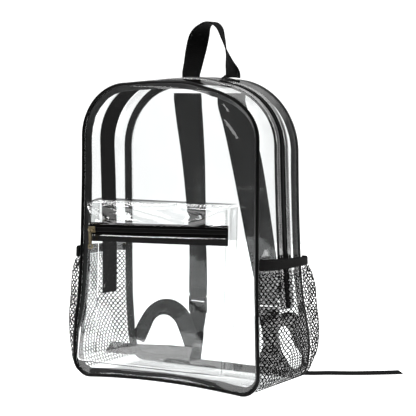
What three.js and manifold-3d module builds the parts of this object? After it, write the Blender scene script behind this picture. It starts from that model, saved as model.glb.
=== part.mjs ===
// A clear stadium backpack, standing on a floor with its front towards -Y.
// Millimetres, +Z up, origin on the floor under the middle of the bottom.
import * as THREE from "three";
import { mergeVertices } from "three/addons/utils/BufferGeometryUtils.js";
import Module from "manifold-3d";

const wasm = await Module();
wasm.setup();

// Body of the bag
const HEIGHT = 427.5; // floor to the middle of the rear top seam
const BASE_WIDTH = 306; // across the front seams at the floor
const BASE_DEPTH = 142; // front seam to rear seam at the floor
const WALL = 1; // clear vinyl
const PIPING_RADIUS = 2.4;
const GAP = 0.3; // between pieces that touch
const FRONT_DROP = 8.5; // how far the front top seam lies under the rear one
const FRONT_TOP_RADIUS = 75;
const REAR_TOP_RADIUS = 100;
const BOTTOM_RADIUS = 26;
const BOTTOM_BOW = 5.7; // the front bottom seam lifts off the floor between its corners
const TOP_CROWN = 3;
const SHOULDER_SAG = 11; // the slack front shoulder on the +X side
const SAG_START = 20; // where that sag begins, from the middle
const SAG_LENGTH = 80;
const FADE = 60; // height over which the bow, crown and sag die out
const SIDE_SEAM_HEIGHT = 110; // where the zipped gusset meets the base gusset

// Seam trim
const BINDING_WIDTH = 11.5; // the rear binding lies flat round the edge of the back
const BINDING_THICKNESS = 3;
const BINDING_LIP = 1.5; // part of it outside the rear seam
const SEAM_TAPE_WIDTH = 10;
const SEAM_TAPE_THICKNESS = 1.4;

// Main zip
const ZIP_PLACE_TOP = 0.55; // share of the gusset's depth, from the front seam
const ZIP_PLACE_SIDE = 0.63; // the same at the foot of each side
const TAPE_WIDTH = 36;
const TAPE_THICKNESS = 1.2;
const COIL_WIDTH = 6;
const COIL_HEIGHT = 2;
const ZIP_SLOT = 13; // bare tape between the vinyl edges
const SLIDER_LENGTH = 11;
const SLIDER_WIDTH = 8;
const SLIDER_PLATE = 1.6;
const BRIDGE_HEIGHT = 4.6;
const BRIDGE_THICKNESS = 1.3;
const BRIDGE_WIDTH = 2.2;
const PULL_LENGTH = 27; // from the bridge to the foot
const PULL_WIDTH = 5;
const PULL_THICKNESS = 1.5;
const PULL_EYE = 2.6; // middle radius of the eye round the bridge
const PULL_WIRE = 0.8; // radius of the eye's wire
const PULL_RING = 4; // outer radius of the ring at the foot
const PULL_RING_HOLE = 2.2;
const MAIN_SLIDER_X = 55;

// Front pocket
const POCKET_WIDTH = 230;
const POCKET_BOTTOM = 22;
const POCKET_TOP = 258;
const POCKET_DEPTH_LEFT = 38;
const POCKET_DEPTH_RIGHT = 23;
const POCKET_SWELL = 5; // how far the middle of the face stands proud
const POCKET_ZIP_HEIGHT = 216.5; // middle of the zip
const POCKET_ZIP_SLOPE = 6; // rise of the zip from its left end to its right end
const POCKET_ZIP_SLOT = 14;
const POCKET_TAPE_BELOW = 9.5; // tape under the slot and above it
const POCKET_TAPE_ABOVE = 3;
const POCKET_SLOPE_REACH = 46; // height over which the zip's slope dies out
const POCKET_SLIDER_INSET = 8; // from the left end of the zip

// Side pockets of net
const NET_THICKNESS = 1;
const NET_TOP = 168;
const NET_FOOT = 10; // height of its lowest edge
const NET_SWELL_LEFT = 30;
const NET_SWELL_RIGHT = 36;
const MOUTH_HEIGHT = 14.5; // elastic binding round the mouth
const MOUTH_THICKNESS = 2.4;
const MOUTH_TILT = 6; // how much lower its rear end is

// Handle
const HANDLE_WIDTH = 30;
const HANDLE_THICKNESS = 2;
const HANDLE_LEFT = -29;
const HANDLE_RIGHT = 41;
const HANDLE_RISE = 77;

// Shoulder straps
const STRAP_WIDTH = 46;
const STRAP_THICKNESS = 4;
const STRAP_TOP = 406;
const STRAP_END = 104;
const STRAP_SPACING = 37; // from the middle of the back to a strap's middle at its top
const STRAP_HANG = 48; // how far a strap's foot hangs behind the rear panel
const STRAP_YAW_LEFT = -14; // degrees, at a strap's foot
const STRAP_YAW_RIGHT = 25;
const STRAP_DRIFT = 16; // how far the right strap swings outwards
const STRAP_DRIFT_BACK = 12; // and backwards

// Adjusters
const WEBBING_WIDTH = 25;
const WEBBING_THICKNESS = 1.5;
const LOCK_WIDTH = 33;
const LOCK_HEIGHT = 24;
const LOCK_THICKNESS = 4;
const LOCK_BAR = 3.5;
const LOCK_DROP = 15; // from the strap's end to the middle of the lock
const KEEPER_LAP = 11; // how far the keeper loop runs up the strap
const ARCH_HEIGHT = 83; // webbing between the lock and the bottom corner stands up in an arch
const ANCHOR_HEIGHT = 30;
const ANCHOR_INSET = 11; // from the rear seam to the middle of the webbing
const ANCHOR_TURN = 45; // degrees, on the right
const TAIL_REACH = 243; // free end of the right tail, from the middle of the bag
const TAIL_BACK = 188;
const TAIL_REACH_LEFT = 215;
const TAIL_BACK_LEFT = 98;

const v3 = (x, y, z) => new THREE.Vector3(x, y, z);
const lerp = (a, b, t) => a + (b - a) * t;
const ease = (t) => THREE.MathUtils.smoothstep(t, 0, 1);

// Reads a table of named columns between its rows, by its first column.
function read(table, at, name) {
  const key = Object.keys(table[0])[0];
  let k = 0;
  while (k < table.length - 2 && table[k + 1][key] < at) k++;
  const [a, b] = [table[k], table[k + 1]];
  const t = THREE.MathUtils.clamp((at - a[key]) / (b[key] - a[key]), 0, 1);
  return lerp(a[name], b[name], t);
}

// A solid through rings of points, closed by strips at its two ends or joined into a loop.
function loft(rings, loop = false) {
  const size = rings[0].length;
  const position = rings.flat().flatMap((p) => [p.x, p.y, p.z]);
  const index = [];
  const quad = (a, b, c, d) => index.push(a, b, c, a, c, d);
  const spans = loop ? rings.length : rings.length - 1;
  for (let i = 0; i < spans; i++) {
    const near = i * size;
    const far = ((i + 1) % rings.length) * size;
    for (let j = 0; j < size; j++) {
      const next = (j + 1) % size;
      quad(near + j, near + next, far + next, far + j);
    }
  }
  if (!loop) {
    const last = (rings.length - 1) * size;
    for (let j = 0; j < size / 2 - 1; j++) {
      quad(j, size - 1 - j, size - 2 - j, j + 1);
      quad(last + j, last + j + 1, last + size - 2 - j, last + size - 1 - j);
    }
  }
  const shape = new THREE.BufferGeometry();
  shape.setAttribute("position", new THREE.Float32BufferAttribute(position, 3));
  let volume = 0;
  const corner = (i) => v3(position[3 * i], position[3 * i + 1], position[3 * i + 2]);
  for (let i = 0; i < index.length; i += 3) {
    const [a, b, c] = [corner(index[i]), corner(index[i + 1]), corner(index[i + 2])];
    volume += a.dot(b.cross(c));
  }
  shape.setIndex(volume < 0 ? index.reverse() : index);
  shape.computeVertexNormals();
  return shape;
}

// A sheet of even thickness whose middle runs through a grid of points.
function sheet(grid, thickness) {
  const rows = grid.length;
  const columns = grid[0].length;
  const rings = grid.map((row, i) => {
    const out = [];
    const back = [];
    row.forEach((p, j) => {
      const along = grid[Math.min(i + 1, rows - 1)][j].clone().sub(grid[Math.max(i - 1, 0)][j]);
      const across = row[Math.min(j + 1, columns - 1)].clone().sub(row[Math.max(j - 1, 0)]);
      const normal = along.cross(across).setLength(thickness / 2);
      out.push(p.clone().add(normal));
      back.unshift(p.clone().sub(normal));
    });
    return [...out, ...back];
  });
  return loft(rings);
}

// A flat band along a route of points, each with the direction that its width takes there.
function ribbon(route, width, thickness, steps) {
  const middle = new THREE.CatmullRomCurve3(route.map((r) => r.at));
  const lay = new THREE.CatmullRomCurve3(route.map((r) => r.across));
  const rings = [];
  for (let i = 0; i <= steps; i++) {
    const t = i / steps;
    const tangent = middle.getTangent(t);
    const across = lay.getPoint(t);
    across.addScaledVector(tangent, -across.dot(tangent)).normalize();
    const normal = tangent.clone().cross(across).setLength(thickness / 2);
    const share = read(route.map((r, k) => ({ k: k / (route.length - 1), width: r.width ?? 1 })), t, "width");
    across.multiplyScalar((width * share) / 2);
    const p = middle.getPoint(t);
    rings.push([
      p.clone().add(across).add(normal),
      p.clone().sub(across).add(normal),
      p.clone().sub(across).sub(normal),
      p.clone().add(across).sub(normal),
    ]);
  }
  return loft(rings);
}

// Form of the body: half widths as shares of half the base width, seam places as shares of half the depth.
const FORM = [
  { height: 0.0, frontWidth: 1.0, front: 1.017, rearWidth: 0.975, rear: 0.98 },
  { height: 0.035, frontWidth: 1.0, front: 1.017, rearWidth: 0.985, rear: 0.985 },
  { height: 0.12, frontWidth: 0.995, front: 1.011, rearWidth: 1.015, rear: 0.97 },
  { height: 0.19, frontWidth: 0.985, front: 0.99, rearWidth: 1.007, rear: 0.905 },
  { height: 0.28, frontWidth: 0.965, front: 0.93, rearWidth: 0.985, rear: 0.81 },
  { height: 0.38, frontWidth: 0.953, front: 0.901, rearWidth: 0.969, rear: 0.756 },
  { height: 0.7, frontWidth: 0.941, front: 0.838, rearWidth: 0.952, rear: 0.691 },
  { height: 1.0, frontWidth: 0.94, front: 0.82, rearWidth: 0.95, rear: 0.67 },
];

const SEAMS = {
  front: {
    width: "frontWidth",
    depth: (z) => (-BASE_DEPTH / 2) * read(FORM, z / HEIGHT, "front"),
    top: HEIGHT - FRONT_DROP,
    radius: FRONT_TOP_RADIUS,
    bow: BOTTOM_BOW,
    sag: SHOULDER_SAG,
  },
  rear: {
    width: "rearWidth",
    depth: (z) => (BASE_DEPTH / 2) * read(FORM, z / HEIGHT, "rear"),
    top: HEIGHT - TOP_CROWN,
    radius: REAR_TOP_RADIUS,
    bow: 0,
    sag: 0,
  },
};
const halfWidth = (seam, z) => (BASE_WIDTH / 2) * read(FORM, z / HEIGHT, seam.width);

const BASE_STEPS = 5; // stations along half the bottom
const CORNER_STEPS = 4;
const SIDE_STEPS = 9;
const SHOULDER_STEPS = 8;
const TOP_STEPS = 3;
const FIRST_SIDE = BASE_STEPS + CORNER_STEPS;
const LAST_SIDE = FIRST_SIDE + SIDE_STEPS;
const LAST_ARC = LAST_SIDE + SHOULDER_STEPS;
const LAST = LAST_ARC + TOP_STEPS;

// Half the outline of a panel, from the middle of its bottom round to the middle of its top.
function halfOutline(seam) {
  const points = [];
  const foot = PIPING_RADIUS;
  const kneeZ = foot + BOTTOM_RADIUS;
  const kneeX = halfWidth(seam, kneeZ) - BOTTOM_RADIUS;
  const hipZ = seam.top - seam.radius;
  const hipX = halfWidth(seam, hipZ) - seam.radius;
  for (let k = 0; k <= BASE_STEPS; k++) points.push([(kneeX * k) / BASE_STEPS, foot]);
  for (let k = 1; k <= CORNER_STEPS; k++) {
    const a = (Math.PI / 2) * (k / CORNER_STEPS);
    points.push([kneeX + BOTTOM_RADIUS * Math.sin(a), kneeZ - BOTTOM_RADIUS * Math.cos(a)]);
  }
  const heights = [...sideHeights(kneeZ), hipZ];
  for (const z of heights) points.push([halfWidth(seam, z), z]);
  for (let k = 1; k <= SHOULDER_STEPS; k++) {
    const a = (Math.PI / 2) * (k / SHOULDER_STEPS);
    points.push([hipX + seam.radius * Math.cos(a), hipZ + seam.radius * Math.sin(a)]);
  }
  for (let k = 1; k <= TOP_STEPS; k++) points.push([hipX * (1 - k / TOP_STEPS), seam.top]);
  return points;
}

// Heights of the stations up a side, with one on each side of the side seam.
function sideHeights(knee) {
  const lower = [0.35, 0.7].map((t) => lerp(knee, SIDE_SEAM_HEIGHT, t));
  const upper = [0.2, 0.4, 0.6, 0.8].map((t) => lerp(SIDE_SEAM_HEIGHT, HEIGHT - REAR_TOP_RADIUS, t));
  return [...lower, SIDE_SEAM_HEIGHT - GAP, SIDE_SEAM_HEIGHT + GAP, ...upper];
}
const SEAM_BELOW = FIRST_SIDE + 3;
const SEAM_ABOVE = FIRST_SIDE + 4;

// How far the middle of a row of a panel lies above its ends.
function lift(seam, z) {
  const low = Math.max(0, 1 - (z - PIPING_RADIUS) / FADE);
  const high = Math.max(0, 1 - (seam.top - z) / FADE);
  return seam.bow * low + TOP_CROWN * high;
}

// Lifts a point of a seam by its bow, crown and sag. arch is 1 in the middle of its row, 0 at its ends.
function settle(seam, x, z, arch) {
  const slack = ease((x - SAG_START) / SAG_LENGTH) * ease(1 - (seam.top - z) / (1.5 * FADE));
  return z + arch * lift(seam, z) - seam.sag * slack;
}

// Stations of a whole seam, round from the middle of the bottom over +X, with the outward direction at each.
function seamLoop(seam) {
  const half = halfOutline(seam);
  const flat = [...half, ...half.slice(1, -1).reverse().map(([x, z]) => [-x, z])];
  const points = flat.map(([x, z], i) => {
    const k = i <= LAST ? i : 2 * LAST - i;
    let end = 0;
    if (k <= BASE_STEPS) end = half[BASE_STEPS][0];
    if (k >= LAST_ARC) end = half[LAST_ARC][0];
    const arch = end ? 1 - (x / end) ** 2 : 0;
    return v3(x, seam.depth(z), settle(seam, x, z, arch));
  });
  return points.map((p, i) => {
    const before = points[(i + points.length - 1) % points.length];
    const after = points[(i + 1) % points.length];
    const out = v3(after.z - before.z, 0, before.x - after.x).normalize();
    return { at: p, out, lift: p.z - flat[i][1] };
  });
}
const FRONT = seamLoop(SEAMS.front);
const REAR = seamLoop(SEAMS.rear);
const COUNT = FRONT.length;

// A trim of even section round a whole seam. Each corner of the section is [outwards, into the bag].
function trim(loop, inward, section) {
  const rings = loop.map(({ at, out }) =>
    section.map(([n, b]) => at.clone().addScaledVector(out, n).add(v3(0, inward * b, 0))),
  );
  return loft(rings, true);
}

function roundSection(radius, sides) {
  return Array.from({ length: sides }, (_, k) => {
    const a = (2 * Math.PI * (k + 0.5)) / sides;
    return [radius * Math.cos(a), radius * Math.sin(a)];
  });
}

// A flat panel inside a seam, held clear of it by margin.
function panel(seam, loop, margin) {
  const rows = [];
  const inner = loop.map(({ at, out }) => at.clone().addScaledVector(out, -margin));
  for (let k = BASE_STEPS; k <= LAST_ARC; k++) {
    const right = inner[k];
    const left = inner[(COUNT - k) % COUNT];
    const row = [];
    for (let j = 0; j <= PANEL_COLUMNS; j++) {
      const t = j / PANEL_COLUMNS;
      const x = lerp(left.x, right.x, t);
      const flat = lerp(left.z, right.z, t);
      const arch = 1 - (2 * t - 1) ** 2;
      const z = flat + arch * lift(seam, flat);
      row.push(v3(x, seam.depth(z), z));
    }
    rows.push(row);
  }
  return sheet(rows, WALL);
}
const PANEL_COLUMNS = 6;

// A point of the gusset: station i, share t of its depth, off outwards.
function gussetPoint(i, t, off) {
  const front = FRONT[i % COUNT];
  const rear = REAR[i % COUNT];
  const out = front.out.clone().lerp(rear.out, t).normalize();
  return front.at.clone().lerp(rear.at, t).addScaledVector(out, off);
}
const gussetDepth = (i) => FRONT[i % COUNT].at.distanceTo(REAR[i % COUNT].at);
const gussetShare = (i, distance) => distance / gussetDepth(i);

// A strip of the gusset over stations from first to last, between two shares of its depth.
function gussetStrip(first, last, from, to, thickness, offAt, columns) {
  const rows = [];
  for (let i = first; i <= last; i++) {
    const row = [];
    for (let j = 0; j <= columns; j++) {
      const t = lerp(from(i), to(i), j / columns);
      row.push(gussetPoint(i, t, offAt(i, t)));
    }
    rows.push(row);
  }
  return sheet(rows, thickness);
}

const PUFF = PIPING_RADIUS - WALL / 2; // the gusset stands this far out between its seams
const RAMP = 0.14; // share of the depth in which it gets there
const rise = (t) => ease(Math.min(t, 1 - t) / RAMP);
const frontEdge = (i) => gussetShare(i, PIPING_RADIUS + GAP);
const rearEdge = (i) => 1 - gussetShare(i, BINDING_THICKNESS / 2 + GAP);
const zipPlace = (i) => {
  const climb = (FRONT[i % COUNT].at.z - SIDE_SEAM_HEIGHT) / (HEIGHT - SIDE_SEAM_HEIGHT);
  return lerp(ZIP_PLACE_SIDE, ZIP_PLACE_TOP, ease(climb));
};
const tapeShare = (i, offset) => zipPlace(i) + gussetShare(i, offset);
const slotFront = (i) => tapeShare(i, -ZIP_SLOT / 2);
const slotRear = (i) => tapeShare(i, ZIP_SLOT / 2);
const FAR_SEAM = COUNT - SEAM_ABOVE;

// Depth of the tape's and the coil's middles under the vinyl's middle
const TAPE_OFF = PUFF - WALL / 2 - GAP - TAPE_THICKNESS / 2;
const COIL_OFF = TAPE_OFF + TAPE_THICKNESS / 2 + GAP + COIL_HEIGHT / 2;

// The base gusset dips from its seams to the floor and lies flat there.
function baseGusset() {
  const stops = [0, 0.25, 0.6, 1];
  const rows = [];
  for (let i = COUNT - SEAM_BELOW; i <= COUNT + SEAM_BELOW; i++) {
    const [a, b] = [frontEdge(i), rearEdge(i)];
    const shares = [...stops.map((s) => lerp(a, RAMP, s)), ...stops.map((s) => lerp(1 - RAMP, b, s))];
    rows.push(
      shares.map((t) => {
        const bow = lerp(FRONT[i % COUNT].lift, REAR[i % COUNT].lift, t);
        return gussetPoint(i, t, rise(t) * (PUFF + bow));
      }),
    );
  }
  return sheet(rows, WALL);
}

// Front pocket: shares of its height, of half its width on the left, and of its depth.
const POCKET_FORM = [
  { height: 0.0, left: 1.06, depth: 1.0 },
  { height: 0.25, left: 1.02, depth: 0.98 },
  { height: 0.37, left: 0.985, depth: 0.97 },
  { height: 0.85, left: 0.94, depth: 0.98 },
  { height: 0.96, left: 0.955, depth: 1.0 },
  { height: 1.0, left: 0.98, depth: 0.86 },
];
const POCKET_HEIGHT = POCKET_TOP - POCKET_BOTTOM;
const POCKET_CORNER = 2.5; // between the face's edge and the side wall's edge

// A point of the pocket's face: across from 0 on the left to 1, height z, share of the full depth.
function pocketPoint(across, z, reach, off = 0) {
  const h = (z - POCKET_BOTTOM) / POCKET_HEIGHT;
  const left = (-POCKET_WIDTH / 2) * read(POCKET_FORM, h, "left") + POCKET_CORNER;
  const x = lerp(left, POCKET_WIDTH / 2 - POCKET_CORNER, across);
  const depth = lerp(POCKET_DEPTH_LEFT, POCKET_DEPTH_RIGHT, across) * read(POCKET_FORM, h, "depth");
  const swell = POCKET_SWELL * Math.sin(Math.PI * across) * Math.sin(Math.PI * THREE.MathUtils.clamp(h, 0, 1));
  const stand = WALL + GAP;
  const y = SEAMS.front.depth(z) - lerp(stand, depth + swell, reach) - off;
  return v3(x, y, z);
}

const POCKET_COLUMNS = 12;
function pocketSheet(rows, thickness, off = 0) {
  const grid = rows.map(([z, reach]) =>
    Array.from({ length: POCKET_COLUMNS + 1 }, (_, j) => {
      const across = j / POCKET_COLUMNS;
      const fade = Math.max(0, 1 - Math.abs(z - POCKET_ZIP_HEIGHT) / POCKET_SLOPE_REACH);
      return pocketPoint(across, z + POCKET_ZIP_SLOPE * across * fade, reach, off);
    }),
  );
  return sheet(grid, thickness);
}
const ZIP_LOW = POCKET_ZIP_HEIGHT - POCKET_ZIP_SLOT / 2;
const ZIP_HIGH = POCKET_ZIP_HEIGHT + POCKET_ZIP_SLOT / 2;

// A side wall of the pocket from the front panel to the face's edge.
function pocketSide(across) {
  const sideways = across ? 1 : -1;
  const shares = [0.05, 0.13, 0.25, 0.37, 0.55, 0.7, 0.85, 0.95, 0.985];
  const heights = shares.map((h) => POCKET_BOTTOM + h * POCKET_HEIGHT);
  const grid = heights.map((z) =>
    [0, 0.35, 0.7, 1].map((t) => {
      const foot = v3((sideways * POCKET_WIDTH) / 2, SEAMS.front.depth(z) - WALL - GAP, z);
      const edge = pocketPoint(across, z, 1);
      edge.x += sideways * POCKET_CORNER;
      edge.y += POCKET_CORNER / 2;
      return foot.lerp(edge, t);
    }),
  );
  return sheet(grid, WALL);
}

// Net pocket: shares of its height, and how full it is there.
const NET_FORM = [
  { height: 0.0, full: 0.0 },
  { height: 0.1, full: 0.28 },
  { height: 0.3, full: 0.72 },
  { height: 0.55, full: 0.95 },
  { height: 0.8, full: 1.0 },
  { height: 0.93, full: 0.86 },
  { height: 1.0, full: 0.62 },
];
const MOUTH_FULL = 0.5;
const NET_ROUNDNESS = 2.6; // 2 is an ellipse, more is boxier
const NET_LEAN = 0.54; // share of the depth where it stands out most
const NET_START = 0; // its front edge lies against the piping

// The seam's station that lies at height z on the +X side, as a whole number and a share.
function stationAt(z) {
  let k = BASE_STEPS;
  while (k < LAST_ARC - 1 && REAR[k + 1].at.z < z) k++;
  return k + (z - REAR[k].at.z) / (REAR[k + 1].at.z - REAR[k].at.z);
}

function netPoint(side, z, t, swell, off) {
  const s = stationAt(z);
  const k = Math.floor(s);
  const u = t < NET_LEAN ? (t - NET_LEAN) / (NET_LEAN - NET_START) : (t - NET_LEAN) / (1 - NET_LEAN);
  const bulge = swell * Math.pow(Math.max(0, 1 - Math.pow(Math.abs(u), NET_ROUNDNESS)), 1 / NET_ROUNDNESS);
  const p = gussetPoint(k, t, off + bulge).lerp(gussetPoint(k + 1, t, off + bulge), s - k);
  p.x *= side;
  return p;
}
const NET_SEAT = PUFF + WALL / 2 + GAP + NET_THICKNESS / 2;
const NET_END = 1.009; // its rear edge lies close behind the middle of the rear seam
const netShares = [0, 0.03, 0.08, 0.16, 0.28, 0.42, 0.54, 0.68, 0.8, 0.89, 0.95, 0.98, 1];
const netShare = (t) => lerp(NET_START, NET_END, t);

function netPocket(side, swell) {
  const rows = [];
  for (const h of [0, 0.06, 0.12, 0.2, 0.3, 0.42, 0.55, 0.68, 0.8, 0.9, 1]) {
    const z = lerp(NET_FOOT, NET_TOP, h);
    const full = swell * read(NET_FORM, h, "full");
    rows.push(netShares.map((t) => netPoint(side, z, netShare(t), full, NET_SEAT)));
  }
  return sheet(rows, NET_THICKNESS);
}

function netMouth(side, swell) {
  const low = NET_TOP + GAP + MOUTH_THICKNESS / 4;
  const rows = [0, 0.5, 1].map((h) =>
    netShares.map((t) => {
      const z = low + MOUTH_TILT * (1 - t) * (0.3 + 0.7 * h) + h * (MOUTH_HEIGHT - MOUTH_TILT / 2);
      return netPoint(side, z, netShare(t), swell * MOUTH_FULL, NET_SEAT + (MOUTH_THICKNESS - NET_THICKNESS) / 2);
    }),
  );
  return sheet(rows, MOUTH_THICKNESS);
}

// Carrying loop with half a turn in it: shares of its span and rise, and the turn of its width in degrees.
const HANDLE_FORM = [
  { across: 0.0, up: 0.0, turn: 0 },
  { across: 0.0, up: 0.06, turn: 0 },
  { across: 0.05, up: 0.24, turn: 5 },
  { across: 0.12, up: 0.5, turn: 20 },
  { across: 0.21, up: 0.77, turn: 50 },
  { across: 0.34, up: 0.96, turn: 84 },
  { across: 0.5, up: 1.02, turn: 93 },
  { across: 0.68, up: 0.92, turn: 103 },
  { across: 0.78, up: 0.7, turn: 112 },
  { across: 0.86, up: 0.46, turn: 125 },
  { across: 0.93, up: 0.24, turn: 145 },
  { across: 1.0, up: 0.06, turn: 165 },
  { across: 1.0, up: 0.0, turn: 168 },
];
function handle() {
  const hip = halfWidth(SEAMS.rear, SEAMS.rear.top - REAR_TOP_RADIUS) - REAR_TOP_RADIUS;
  const seat = (x) => {
    const inner = Math.abs(x) - HANDLE_WIDTH / 2;
    return HEIGHT - TOP_CROWN * (inner / hip) ** 2 + BINDING_LIP + GAP;
  };
  const y = SEAMS.rear.depth(HEIGHT);
  const route = HANDLE_FORM.map(({ across, up, turn }) => {
    const a = THREE.MathUtils.degToRad(turn);
    const z = lerp(seat(HANDLE_LEFT), seat(HANDLE_RIGHT), across) + up * HANDLE_RISE;
    return { at: v3(lerp(HANDLE_LEFT, HANDLE_RIGHT, across), y, z), across: v3(Math.cos(a), Math.sin(a), 0) };
  });
  return ribbon(route, HANDLE_WIDTH, HANDLE_THICKNESS, 34);
}

// Shoulder straps: shares of their drop, of their hang behind the back, of their spacing, of the left one's
// width and the right one's, of their yaw and of the right one's drift.
const STRAP_FORM = [
  { drop: 0.0, hang: 0.0, spread: 1.0, left: 1.0, right: 1.0, yaw: 0.0, drift: 0.0 },
  { drop: 0.05, hang: 0.03, spread: 1.0, left: 1.0, right: 1.0, yaw: 0.0, drift: 0.0 },
  { drop: 0.15, hang: 0.16, spread: 1.02, left: 1.0, right: 1.0, yaw: 0.25, drift: 0.26 },
  { drop: 0.33, hang: 0.45, spread: 1.1, left: 0.95, right: 0.98, yaw: 0.7, drift: 0.41 },
  { drop: 0.55, hang: 0.72, spread: 1.2, left: 0.85, right: 0.92, yaw: 1.0, drift: 0.52 },
  { drop: 0.76, hang: 0.9, spread: 1.26, left: 0.76, right: 0.86, yaw: 1.0, drift: 0.74 },
  { drop: 0.93, hang: 0.99, spread: 1.32, left: 0.74, right: 0.81, yaw: 0.6, drift: 0.97 },
  { drop: 1.0, hang: 1.0, spread: 1.34, left: 0.72, right: 0.79, yaw: 0.5, drift: 1.0 },
];
const STRAP_SEAT = WALL / 2 + GAP + STRAP_THICKNESS / 2;
function strapRoute(side) {
  const yaw = side < 0 ? STRAP_YAW_LEFT : STRAP_YAW_RIGHT;
  const drift = side < 0 ? [0, 0] : [STRAP_DRIFT, STRAP_DRIFT_BACK];
  return STRAP_FORM.map((row) => {
    const x = side * STRAP_SPACING * row.spread + drift[0] * row.drift;
    const y = SEAMS.rear.depth(STRAP_TOP) + STRAP_SEAT + row.hang * STRAP_HANG + drift[1] * row.drift;
    const a = THREE.MathUtils.degToRad(yaw * row.yaw);
    return {
      at: v3(x, y, lerp(STRAP_TOP, STRAP_END, row.drop)),
      across: v3(Math.cos(a), Math.sin(a), 0),
      width: side < 0 ? row.left : row.right,
    };
  });
}

// The lock's place: under the strap's end, turned with it. Its depth axis points away from the bag.
function lockFrame(side) {
  const end = strapRoute(side).at(-1);
  const across = end.across.clone().normalize();
  const away = v3(-across.y, across.x, 0);
  const middle = end.at.clone().add(v3(0, 0, -LOCK_DROP));
  const place = (w, d, h) => middle.clone().addScaledVector(across, w).addScaledVector(away, d).add(v3(0, 0, h));
  return { across, away, middle, place };
}

// Adjuster: a frame with a middle bar, cut through in two slots.
function lockShape(side) {
  const [w, h] = [LOCK_WIDTH / 2, LOCK_HEIGHT / 2];
  const outline = new THREE.Shape([[-w, -h], [w, -h], [w, h], [-w, h]].map(([x, y]) => new THREE.Vector2(x, y)));
  const slotX = WEBBING_WIDTH / 2 + 1;
  for (const sign of [-1, 1]) {
    const [a, b] = [(sign * LOCK_BAR) / 2, sign * (h - LOCK_BAR)];
    const hole = [[-slotX, a], [slotX, a], [slotX, b], [-slotX, b]];
    outline.holes.push(new THREE.Path(hole.map(([x, y]) => new THREE.Vector2(x, y))));
  }
  const shape = new THREE.ExtrudeGeometry(outline, { depth: LOCK_THICKNESS, bevelEnabled: false });
  shape.translate(0, 0, -LOCK_THICKNESS / 2);
  const { across, middle } = lockFrame(side);
  const up = v3(0, 0, 1);
  const turn = new THREE.Matrix4().makeBasis(across, up, across.clone().cross(up));
  shape.applyMatrix4(turn);
  shape.translate(middle.x, middle.y, middle.z);
  return shape;
}

// The loop of webbing that hangs the lock from the strap's end, round the lock's upper bar.
const WRAP = LOCK_THICKNESS / 2 + GAP + WEBBING_THICKNESS / 2;
const LAP = STRAP_THICKNESS / 2 + 2 * GAP + WEBBING_THICKNESS / 2;
function keeper(side) {
  const { place, across } = lockFrame(side);
  const top = LOCK_DROP + KEEPER_LAP;
  const bar = LOCK_HEIGHT / 2 - LOCK_BAR - GAP - WEBBING_THICKNESS / 2;
  const profile = [
    [-LAP, top], [-LAP, LOCK_DROP + 3], [-WRAP, LOCK_HEIGHT / 2], [-WRAP, bar + 1.2], [-WRAP * 0.85, bar - 0.5],
    [-0.9, bar - 1], [0.9, bar - 1],
    [WRAP * 0.85, bar - 0.5], [WRAP, bar + 1.2], [WRAP, LOCK_HEIGHT / 2], [LAP, LOCK_DROP + 3], [LAP, top],
  ];
  return ribbon(profile.map(([d, h]) => ({ at: place(0, d, h), across })), WEBBING_WIDTH, WEBBING_THICKNESS, 30);
}

// Free tail after the lock: shares of the way to its end in x and y, its height as a share of the lock's and a
// rest over the floor, and the lean of its width.
const TAIL_FORM = {
  right: [
    { x: 0.0, y: 0.04, fall: 0.675, rest: 0, across: [1, 0.1, 0] },
    { x: 0.01, y: 0.11, fall: 0.35, rest: 0, across: [1, 0.2, 0.05] },
    { x: 0.05, y: 0.15, fall: 0.13, rest: 0, across: [0.8, 0.6, 0.2] },
    { x: 0.15, y: 0.04, fall: 0, rest: 2.6, across: [0.25, 1, 0] },
    { x: 0.33, y: -0.06, fall: 0, rest: 1.3, across: [-0.1, 1, 0] },
    { x: 0.52, y: 0.2, fall: 0, rest: 1.3, across: [-0.35, 0.9, 0] },
    { x: 0.7, y: 0.44, fall: 0, rest: 1.3, across: [-0.45, 0.9, 0] },
    { x: 0.86, y: 0.72, fall: 0, rest: 1.3, across: [-0.6, 0.8, 0] },
    { x: 1.0, y: 1.0, fall: 0, rest: 1.3, across: [-0.7, 0.75, 0] },
  ],
  left: [
    { x: 0.03, y: -0.4, fall: 0.675, rest: 0, across: [1, -0.1, 0] },
    { x: 0.07, y: -1.4, fall: 0.364, rest: 0, across: [1, -0.3, 0.05] },
    { x: 0.13, y: -2.6, fall: 0.17, rest: 0, across: [0.8, -0.7, -0.35] },
    { x: 0.23, y: -2.9, fall: 0, rest: 10, across: [0.25, -0.8, -0.55] },
    { x: 0.4, y: -1.9, fall: 0, rest: 9.6, across: [0, -0.8, -0.6] },
    { x: 0.6, y: -0.8, fall: 0, rest: 9.2, across: [0, -0.85, -0.5] },
    { x: 0.8, y: 0.3, fall: 0, rest: 8.4, across: [0, -0.85, -0.5] },
    { x: 1.0, y: 1.0, fall: 0, rest: 8.4, across: [0, -0.85, -0.5] },
  ],
};

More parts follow.
